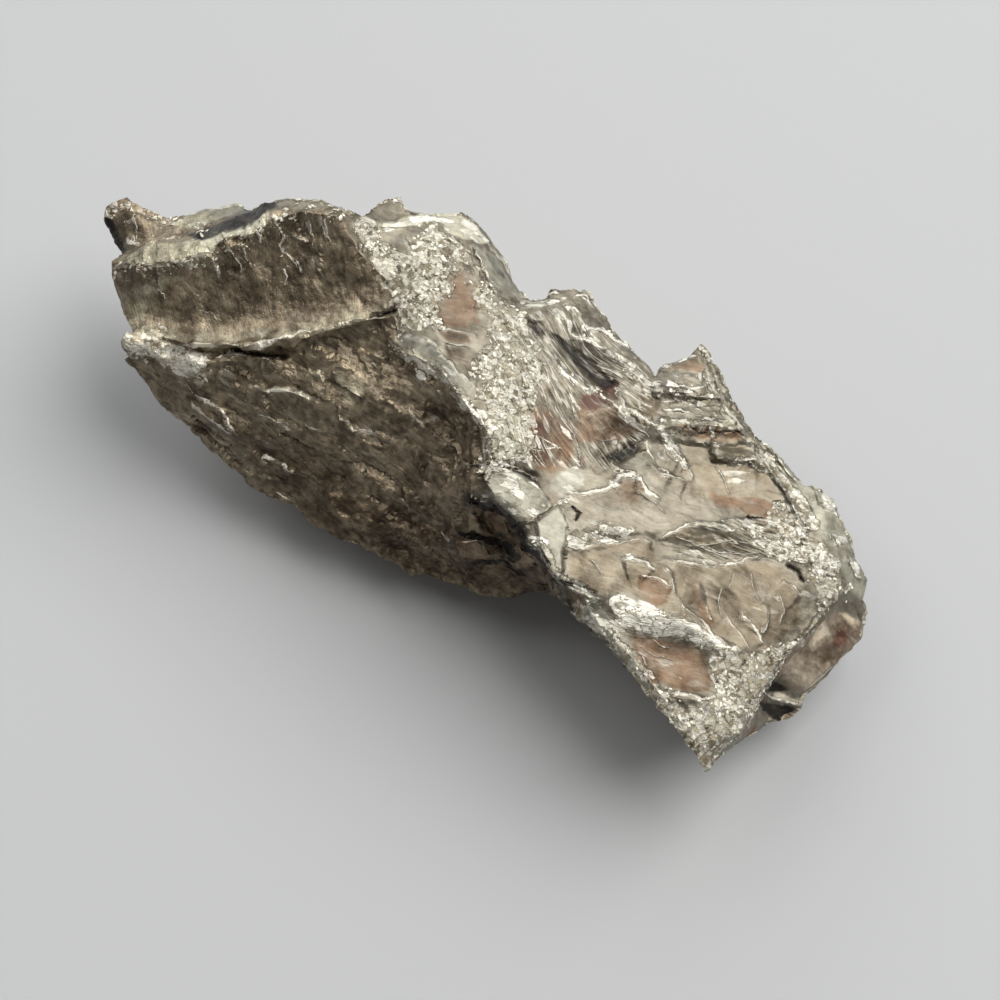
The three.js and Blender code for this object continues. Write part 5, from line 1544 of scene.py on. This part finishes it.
def make_stone_finish():
    """Grain, colour patches, worn and dark lines, white flakes and hackle, from the mesh's attributes."""
    material = bpy.data.materials.new("shungite_finish")
    material.use_nodes = True
    tree = material.node_tree
    shader = tree.nodes["Principled BSDF"]
    where = add_node(tree, "ShaderNodeTexCoord").outputs["Object"]
    flow_at = add_node(tree, "ShaderNodeAttribute", attribute_name="flow").outputs["Vector"]
    grit = noise_node(tree, where, GRIT_SCALE, 3.0, 0.7).outputs["Fac"]
    gait = noise_node(tree, where, GAIT_SCALE, 2.0, 0.6).outputs["Fac"]

    def times(a, b):
        return arithmetic(tree, "MULTIPLY", a, b)

    def plus(a, b):
        return arithmetic(tree, "ADD", a, b)

    def minus(a, b):
        return arithmetic(tree, "SUBTRACT", a, b)

    def most(a, b):
        return arithmetic(tree, "MAXIMUM", a, b)

    def scaled(vector, factors):
        node = add_node(tree, "ShaderNodeVectorMath", operation="MULTIPLY")
        tree.links.new(vector, node.inputs[0])
        node.inputs[1].default_value = factors
        return node.outputs[0]

    def torn(name, raggedness=0.8, sharpness=0.3):
        """A mask with a crisp ragged border instead of a soft one."""
        value = attribute_value(tree, name)
        ragged = plus(plus(value, times(minus(grit, 0.5), raggedness)), times(minus(gait, 0.5), raggedness))
        return times(spread(tree, ragged, 0.5 - sharpness, 0.5 + sharpness), spread(tree, value, 0.0, 0.5))

    # thin lines, drawn from the distances kept on the vertices, in millimetres: highlights painted
    # on the ledges' edges and threads, and painted shadow just below the ledges and in the cracks
    shine, frost_and_glint = attribute_value(tree, "shine"), attribute_value(tree, "frost_and_glint")
    shake = times(minus(grit, 0.5), spread(tree, shine, 0.0, 1.0, 0.9, 0.45))
    broken = spread(tree, gait, 0.4, 0.56)
    ledge = plus(attribute_value(tree, "ledge"), shake)
    near = attribute_value(tree, "ledge_near")
    line_width = times(spread(tree, gait, 0.38, 0.66, 0.0, 0.2), spread(tree, grit, 0.3, 0.7, 0.5, 1.4))
    wider = times(spread(tree, shine, 0.0, 1.0, 2.0, 1.0), spread(tree, near, 0.3, 0.9, 0.5, 1.0))
    line_end = spread(tree, minus(ledge, times(line_width, wider)), 0.0, 0.05, 1.0, 0.0)
    on_top = times(spread(tree, ledge, -0.02, 0.02), line_end)
    below = times(spread(tree, ledge, -0.16, -0.06), spread(tree, ledge, -0.02, 0.02, 1.0, 0.0))
    edge_highlight = times(times(on_top, spread(tree, near, 0.08, 0.6)), spread(tree, gait, 0.36, 0.5, 0.25, 1.0))
    tooth = arithmetic(tree, "FRACT", times(plus(ledge, 2.0), 5.5), 0.0)
    echo = times(spread(tree, tooth, 0.1, 0.32, 1.0, 0.0), spread(tree, ledge, 0.1, 0.16))
    echo = times(echo, times(broken, spread(tree, near, 0.05, 0.4)))
    shaded = times(below, spread(tree, near, 0.15, 0.8))

    def drawn(name, blurred):
        """A line of its own width where its signed distance passes through zero."""
        off = arithmetic(tree, "ABSOLUTE", plus(attribute_value(tree, name), times(shake, 0.5)), 0.0)
        inked = spread(tree, minus(off, attribute_value(tree, name + "_half")), -blurred, blurred, 1.0, 0.0)
        return times(inked, spread(tree, attribute_value(tree, name + "_near"), 0.15, 0.45))

    thread = times(drawn("thread", 0.03), plus(times(broken, 0.75), 0.2))
    crack = drawn("crack", 0.04)

    # white flakes, partly painted glints, and a few painted glints over all the bright face
    ragged_crumb = plus(attribute_value(tree, "crumb"), times(minus(grit, 0.5), 0.8))
    crumbly = spread(tree, ragged_crumb, 0.42, 0.52)
    unseamed = minus(1.0, attribute_value(tree, "seam"))
    frosted = times(most(frost_and_glint, times(shine, 0.018)), unseamed)
    cover = most(frosted, times(crumbly, 0.62))
    cell_at = add_node(tree, "ShaderNodeMix", data_type="VECTOR")
    tree.links.new(crumbly, cell_at.inputs[0])
    tree.links.new(scaled(flow_at, (8.0, 4.2, 4.6)), cell_at.inputs[4])
    tree.links.new(scaled(where, (2700.0, 3300.0, 2700.0)), cell_at.inputs[5])
    splinters = add_node(tree, "ShaderNodeGroup", node_tree=SPLINTERS)
    tree.links.new(cell_at.outputs[1], splinters.inputs["Vector"])
    tree.links.new(cover, splinters.inputs["Cover"])

    fibre = noise_node(tree, scaled(flow_at, (1.6, 9.0, 9.0)), 1.0, 6.0, 0.66).outputs["Fac"]
    stranded = attribute_value(tree, "strand")
    fibrous = times(most(stranded, spread(tree, shine, 0.0, 1.0, 0.34, 0.14)), unseamed)
    hackle = add_node(tree, "ShaderNodeGroup", node_tree=HACKLE)
    tree.links.new(scaled(flow_at, (0.6, 1.0, 1.0)), hackle.inputs["Vector"])
    hackle.inputs["Layers"].default_value = 5.0
    strand = times(stranded, unseamed)
    hackle_edge = times(hackle.outputs["Edge"], times(most(strand, times(shine, 0.06)), unseamed))

    grain = add_node(tree, "ShaderNodeGroup", node_tree=GRAIN)
    tree.links.new(where, grain.inputs["Vector"])
    tree.links.new(times(shine, 0.9), grain.inputs["Fresh"])

    uneven = spread(tree, gait, 0.36, 0.6, 0.55, 1.0)
    rust, red, dark = times(torn("rust"), uneven), torn("red"), torn("dark")
    pale_and_sheen, cream, brown = torn("pale_and_sheen", 0.6, 0.2), torn("cream", 1.0, 0.2), times(torn("brown"), uneven)
    flake_tone = spread(tree, splinters.outputs["Tone"], 0, 1, 0.25, 1.0)
    flake_tone = most(flake_tone, spread(tree, frost_and_glint, 0.75, 1.0, 0.0, 0.85))
    gritted = spread(tree, grit, 0.38, 0.56, 0.6, 1.0)
    thinned = times(most(spread(tree, crumbly, 0.0, 1.0, 1.0, 0.75), frost_and_glint), gritted)
    splinter_white = times(times(splinters.outputs["White"], flake_tone), thinned)
    white = times(splinter_white, minus(1.0, times(dark, 0.85)))
    # painted highlights on ledge edges, threads, hackle edges and their echoes
    highlight_lines = most(most(times(edge_highlight, 0.85), times(thread, 0.62)), most(hackle_edge, times(echo, 0.4)))
    highlight_lines = times(highlight_lines, minus(1.0, times(dark, 0.75)))
    # painted shadow: the dark patches, the cracks, just below each ledge and in the gaps between flakes
    shadow_black = most(times(dark, 0.95), times(crack, 0.95))
    shadow_black = most(shadow_black, most(times(shaded, 0.18), times(splinters.outputs["Gap"], 0.08)))

    # the colours, one over the other
    colour = tint(tree, crumbly, grain.outputs["Color"], CRUMB, "MULTIPLY")
    colour = tint(tree, brown, colour, BROWN, "MULTIPLY")
    colour = tint(tree, fibrous, colour, spread(tree, fibre, 0.4, 0.6, 0.42, 1.65), "MULTIPLY")
    # pale colour and painted sheen
    colour = tint(tree, pale_and_sheen, colour, tint(tree, shine, PALE_SHEEN_DULL, PALE_SHEEN_BRIGHT), "MULTIPLY")
    colour = tint(tree, times(cream, 0.5), colour, CREAM)
    colour = tint(tree, torn("rose"), colour, ROSE, "MULTIPLY")
    colour = tint(tree, rust, colour, RUST, "MULTIPLY")
    colour = tint(tree, red, colour, RED, "MULTIPLY")
    colour = tint(tree, times(attribute_value(tree, "shade"), uneven), colour, SHADE, "MULTIPLY")
    colour = tint(tree, shadow_black, colour, SHADOW_BLACK)
    plain = times(shine, minus(1.0, frost_and_glint))
    colour = tint(tree, highlight_lines, colour, tint(tree, plain, EDGE_HIGHLIGHT_DULL, EDGE_HIGHLIGHT_BRIGHT))
    colour = tint(tree, white, colour, tint(tree, shine, FLAKE_GLINT_DULL, FLAKE_GLINT_BRIGHT))
    tree.links.new(colour, shader.inputs["Base Color"])
    matt = most(times(most(white, highlight_lines), 0.75), times(most(rust, red), 0.5))
    matt = most(matt, most(times(cream, 0.6), times(pale_and_sheen, 0.5)))
    tree.links.new(spread(tree, matt, 0.0, 1.0, 0.72, 0.15), shader.inputs["Metallic"])
    tree.links.new(grain.outputs["Roughness"], shader.inputs["Roughness"])

    bump = add_node(tree, "ShaderNodeBump")
    bump.inputs["Strength"].default_value = 0.8
    bump.inputs["Distance"].default_value = BUMP_DEPTH
    height = times(hackle.outputs["Height"], times(strand, 0.3))
    height = plus(height, times(spread(tree, ledge, -0.06, 0.06), times(near, 0.2)))
    height = plus(height, times(grain.outputs["Height"], spread(tree, shine, 0.0, 1.0, 1.9, 0.5)))
    height = plus(height, times(splinters.outputs["Height"], 0.6))
    height = plus(height, times(times(fibre, fibrous), 0.5))
    height = plus(height, minus(times(thread, 0.3), times(crack, 0.5)))
    tree.links.new(height, bump.inputs["Height"])
    tree.links.new(bump.outputs["Normal"], shader.inputs["Normal"])
    return material


SHUNGITE = make_stone_finish()
stone.data.materials.append(SHUNGITE)
print("finish:", SHUNGITE.name)

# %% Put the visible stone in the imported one's place
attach(stone, "root")
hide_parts("shungite_stone")
print("the carved stone stands in for the packed one")

# %% [markdown]
# ## Crumbs along the broken edges
# Where a shell tore off, small angular crumbs of carbon still cling to the edge, and each one
# glints by itself. They could be placed by hand, but a scatter in Geometry Nodes follows the torn
# zones of the surface and stays adjustable. Three faceted chips are enough, because each copy is
# turned, tilted, stretched and sized differently.

# %% The scatter as a node tree
CRUMBS_PER_MM2 = 17.0
CRUMB_RADIUS = (0.07, 0.22)  # millimetres, smallest and largest
CHIP_KINDS = 3


def random_node(tree, kind, low, high, seed):
    """A random value per point; kind is FLOAT, INT or FLOAT_VECTOR."""
    node = add_node(tree, "FunctionNodeRandomValue", data_type=kind)
    first, out = {"FLOAT_VECTOR": (0, 0), "FLOAT": (2, 1), "INT": (4, 2)}[kind]
    node.inputs[first].default_value = low
    node.inputs[first + 1].default_value = high
    node.inputs["Seed"].default_value = seed
    return node.outputs[out]


def make_scatter():
    """Crumbs on a surface, most where its attribute crumb_room is high."""
    tree = bpy.data.node_groups.new("crumb_scatter", "GeometryNodeTree")
    for name, kind in (
        ("Geometry", "NodeSocketGeometry"),
        ("Crumbs per square metre", "NodeSocketFloat"),
        ("Smallest", "NodeSocketFloat"),
        ("Largest", "NodeSocketFloat"),
        ("Seed", "NodeSocketInt"),
        ("Finish", "NodeSocketMaterial"),
    ):
        tree.interface.new_socket(name, in_out="INPUT", socket_type=kind)
    tree.interface.new_socket("Geometry", in_out="OUTPUT", socket_type="NodeSocketGeometry")
    source = add_node(tree, "NodeGroupInput")
    sink = add_node(tree, "NodeGroupOutput")

    room = add_node(tree, "GeometryNodeInputNamedAttribute", data_type="FLOAT")
    room.inputs["Name"].default_value = "crumb_room"
    most_crumbs = source.outputs["Crumbs per square metre"]
    density = arithmetic(tree, "MULTIPLY", room.outputs["Attribute"], most_crumbs)
    places = add_node(tree, "GeometryNodeDistributePointsOnFaces", distribute_method="RANDOM")
    tree.links.new(source.outputs["Geometry"], places.inputs["Mesh"])
    tree.links.new(density, places.inputs["Density"])
    tree.links.new(source.outputs["Seed"], places.inputs["Seed"])

    chips = add_node(tree, "GeometryNodeGeometryToInstance")
    for number in range(CHIP_KINDS):  # a ball of 20 faces, dented in its own way
        ball = add_node(tree, "GeometryNodeMeshIcoSphere")
        ball.inputs["Subdivisions"].default_value = 1
        chipped = add_node(tree, "GeometryNodeSetPosition")
        tree.links.new(ball.outputs["Mesh"], chipped.inputs["Geometry"])
        shifted = add_node(tree, "ShaderNodeVectorMath", operation="ADD")
        tree.links.new(add_node(tree, "GeometryNodeInputPosition").outputs[0], shifted.inputs[0])
        shifted.inputs[1].default_value = (7.0 * number, 0.0, 0.0)
        dents = noise_node(tree, shifted.outputs[0], 1.7, 2.0).outputs["Color"]
        centred = add_node(tree, "ShaderNodeVectorMath", operation="SUBTRACT")
        tree.links.new(dents, centred.inputs[0])
        centred.inputs[1].default_value = (0.5, 0.5, 0.5)
        pushed = add_node(tree, "ShaderNodeVectorMath", operation="SCALE")
        tree.links.new(centred.outputs[0], pushed.inputs[0])
        pushed.inputs["Scale"].default_value = 1.6
        tree.links.new(pushed.outputs[0], chipped.inputs["Offset"])
        tree.links.new(chipped.outputs["Geometry"], chips.inputs[0])

    lean = add_node(tree, "FunctionNodeEulerToRotation")
    angles = random_node(tree, "FLOAT_VECTOR", (-0.5, -0.5, 0.0), (0.5, 0.5, 6.28), 1)
    tree.links.new(angles, lean.inputs[0])
    turned_chip = add_node(tree, "FunctionNodeRotateRotation", rotation_space="LOCAL")
    tree.links.new(places.outputs["Rotation"], turned_chip.inputs[0])
    tree.links.new(lean.outputs[0], turned_chip.inputs[1])

    share = arithmetic(tree, "POWER", random_node(tree, "FLOAT", 0.0, 1.0, 2), 2.0)
    wide = arithmetic(tree, "SUBTRACT", source.outputs["Largest"], source.outputs["Smallest"])
    size = arithmetic(tree, "ADD", source.outputs["Smallest"], arithmetic(tree, "MULTIPLY", share, wide))
    squat = add_node(tree, "ShaderNodeVectorMath", operation="SCALE")
    stretch = random_node(tree, "FLOAT_VECTOR", (0.8, 0.5, 0.22), (1.4, 0.9, 0.45), 3)
    tree.links.new(stretch, squat.inputs[0])
    tree.links.new(size, squat.inputs["Scale"])

    copies = add_node(tree, "GeometryNodeInstanceOnPoints")
    copies.inputs["Pick Instance"].default_value = True
    for out, name in (
        (places.outputs["Points"], "Points"),
        (chips.outputs[0], "Instance"),
        (random_node(tree, "INT", 0, CHIP_KINDS - 1, 4), "Instance Index"),
        (turned_chip.outputs[0], "Rotation"),
        (squat.outputs[0], "Scale"),
    ):
        tree.links.new(out, copies.inputs[name])
    toned = add_node(tree, "GeometryNodeStoreNamedAttribute", data_type="FLOAT", domain="INSTANCE")
    toned.inputs["Name"].default_value = "tone"
    tree.links.new(copies.outputs["Instances"], toned.inputs["Geometry"])
    tree.links.new(random_node(tree, "FLOAT", 0.0, 1.0, 5), toned.inputs["Value"])
    real = add_node(tree, "GeometryNodeRealizeInstances")
    tree.links.new(toned.outputs["Geometry"], real.inputs["Geometry"])
    finished = add_node(tree, "GeometryNodeSetMaterial")
    tree.links.new(real.outputs["Geometry"], finished.inputs["Geometry"])
    tree.links.new(source.outputs["Finish"], finished.inputs["Material"])
    tree.links.new(finished.outputs["Geometry"], sink.inputs["Geometry"])
    return tree


SCATTER = make_scatter()
print("scatter inputs:", [item.name for item in SCATTER.interface.items_tree if item.in_out == "INPUT"])


# %% The crumbs' material
def make_crumb_finish():
    """The same carbon grain as the stone's, from grey-brown to nearly white from crumb to crumb."""
    material = bpy.data.materials.new("crumb_finish")
    material.use_nodes = True
    tree = material.node_tree
    shader = tree.nodes["Principled BSDF"]
    grain = add_node(tree, "ShaderNodeGroup", node_tree=GRAIN)
    tree.links.new(add_node(tree, "ShaderNodeTexCoord").outputs["Object"], grain.inputs["Vector"])
    grain.inputs["Fresh"].default_value = 1.0
    tone = attribute_value(tree, "tone")
    brightened = spread(tree, tone, 0.0, 0.75, 0.15, 0.9)
    colour = tint(tree, brightened, grain.outputs["Color"], (0.78, 0.75, 0.64))
    tree.links.new(colour, shader.inputs["Base Color"])
    tree.links.new(spread(tree, tone, 0.0, 0.75, 0.5, 0.2), shader.inputs["Metallic"])
    tree.links.new(grain.outputs["Roughness"], shader.inputs["Roughness"])
    return material


CRUMB_FINISH = make_crumb_finish()
print("second finish:", CRUMB_FINISH.name)


# %% Scatter them, then keep a plain mesh
def scattered(name, base, tree, settings):
    """Runs the tree on a copy of the base and returns the result as a plain object."""
    carrier = bpy.data.objects.new(name + "_carrier", base.data.copy())
    bpy.context.collection.objects.link(carrier)
    modifier = carrier.modifiers.new("scatter", "NODES")
    for item in tree.interface.items_tree:
        if item.in_out == "INPUT" and item.name in settings:
            settings[item.identifier] = settings.pop(item.name)
    modifier.node_group = tree
    for identifier, value in settings.items():
        modifier[identifier] = value
    bpy.context.view_layer.update()
    ready = carrier.evaluated_get(bpy.context.evaluated_depsgraph_get())
    mesh = bpy.data.meshes.new_from_object(ready)
    bpy.data.objects.remove(carrier)
    finish = next(m for m in mesh.materials if m)
    mesh.materials.clear()
    mesh.materials.append(finish)
    mesh.polygons.foreach_set("material_index", np.zeros(len(mesh.polygons), dtype=np.int32))
    mesh.name = name
    obj = bpy.data.objects.new(name, mesh)
    bpy.context.collection.objects.link(obj)
    return obj


crumbs = scattered(
    "edge_crumbs",
    stone,
    SCATTER,
    {
        "Crumbs per square metre": CRUMBS_PER_MM2 * 1e6,
        "Smallest": CRUMB_RADIUS[0] / 1000,
        "Largest": CRUMB_RADIUS[1] / 1000,
        "Seed": 7,
        "Finish": CRUMB_FINISH,
    },
)
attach(crumbs, "root")
print("crumb faces:", len(crumbs.data.polygons), "materials:", [m.name for m in crumbs.data.materials])

# %% [markdown]
# ## Floor, light and camera
# A pale plain floor, one big soft light high on the right that the bright face mirrors towards the
# camera, two weaker ones on the left and beyond the top, and a little light from everywhere else.
# The camera looks straight at the show face.


# %% Floor
FLOOR_SIZE = 3.0  # metres
floor_mesh = bpy.data.meshes.new("floor")
half = FLOOR_SIZE / 2
corners = [(-half, -half, 0), (half, -half, 0), (half, half, 0), (-half, half, 0)]
floor_mesh.from_pydata(corners, [], [(0, 1, 2, 3)])
floor = bpy.data.objects.new("floor", floor_mesh)
bpy.context.collection.objects.link(floor)
FLOOR_FINISH = bpy.data.materials.new("floor_finish")
FLOOR_FINISH.use_nodes = True
floor_shader = FLOOR_FINISH.node_tree.nodes["Principled BSDF"]
floor_shader.inputs["Base Color"].default_value = (0.42, 0.43, 0.44, 1)
floor_shader.inputs["Roughness"].default_value = 0.9
floor.data.materials.append(FLOOR_FINISH)
print("floor:", FLOOR_SIZE, "m wide")


# %% Lights
def soft_light(name, towards, distance, size, power, colour):
    """A square area light in the given direction from the stone, aimed at it."""
    lamp = bpy.data.lights.new(name, "AREA")
    lamp.shape = "SQUARE"
    lamp.size = size
    lamp.energy = power
    lamp.color = colour
    obj = bpy.data.objects.new(name, lamp)
    direction = Vector(towards).normalized()
    obj.location = direction * distance
    obj.rotation_euler = direction.to_track_quat("Z", "Y").to_euler()
    bpy.context.collection.objects.link(obj)


LIGHTS = (  # name, direction, distance, size, power, colour
    ("window", (0.54, 0.26, 0.80), 0.8, 0.72, 9.0, (1.0, 0.98, 0.95)),
    ("left_fill", (-0.6, 0.5, 0.75), 0.9, 0.6, 2.6, (1.0, 0.98, 0.94)),
    ("top_fill", (-0.05, 0.88, 0.45), 0.9, 0.8, 4.0, (0.95, 0.98, 1.0)),
)
for light in LIGHTS:
    soft_light(*light)

world = bpy.context.scene.world or bpy.data.worlds.new("studio")
bpy.context.scene.world = world
world.use_nodes = True
backdrop = world.node_tree.nodes["Background"]
backdrop.inputs["Color"].default_value = (0.67, 0.66, 0.65, 1)
backdrop.inputs["Strength"].default_value = 0.26
print(len(LIGHTS), "soft lights and a dim surround")

# %% Camera
EYE_DISTANCE = 212.0  # millimetres from the face-up frame's origin, straight out of the show face
lens = bpy.data.cameras.new("camera")
lens.lens = 100
lens.sensor_width = 36
camera = bpy.data.objects.new("camera", lens)
camera.location = to_row(np.array([[0.0, 0.0, EYE_DISTANCE]]))[0]
camera.rotation_euler = (LEAN, 0, 0)
bpy.context.collection.objects.link(camera)
bpy.context.scene.camera = camera
lens.clip_start = 0.01
bpy.context.scene.view_settings.view_transform = "Standard"
print("camera:", EYE_DISTANCE, "mm out of the show face")
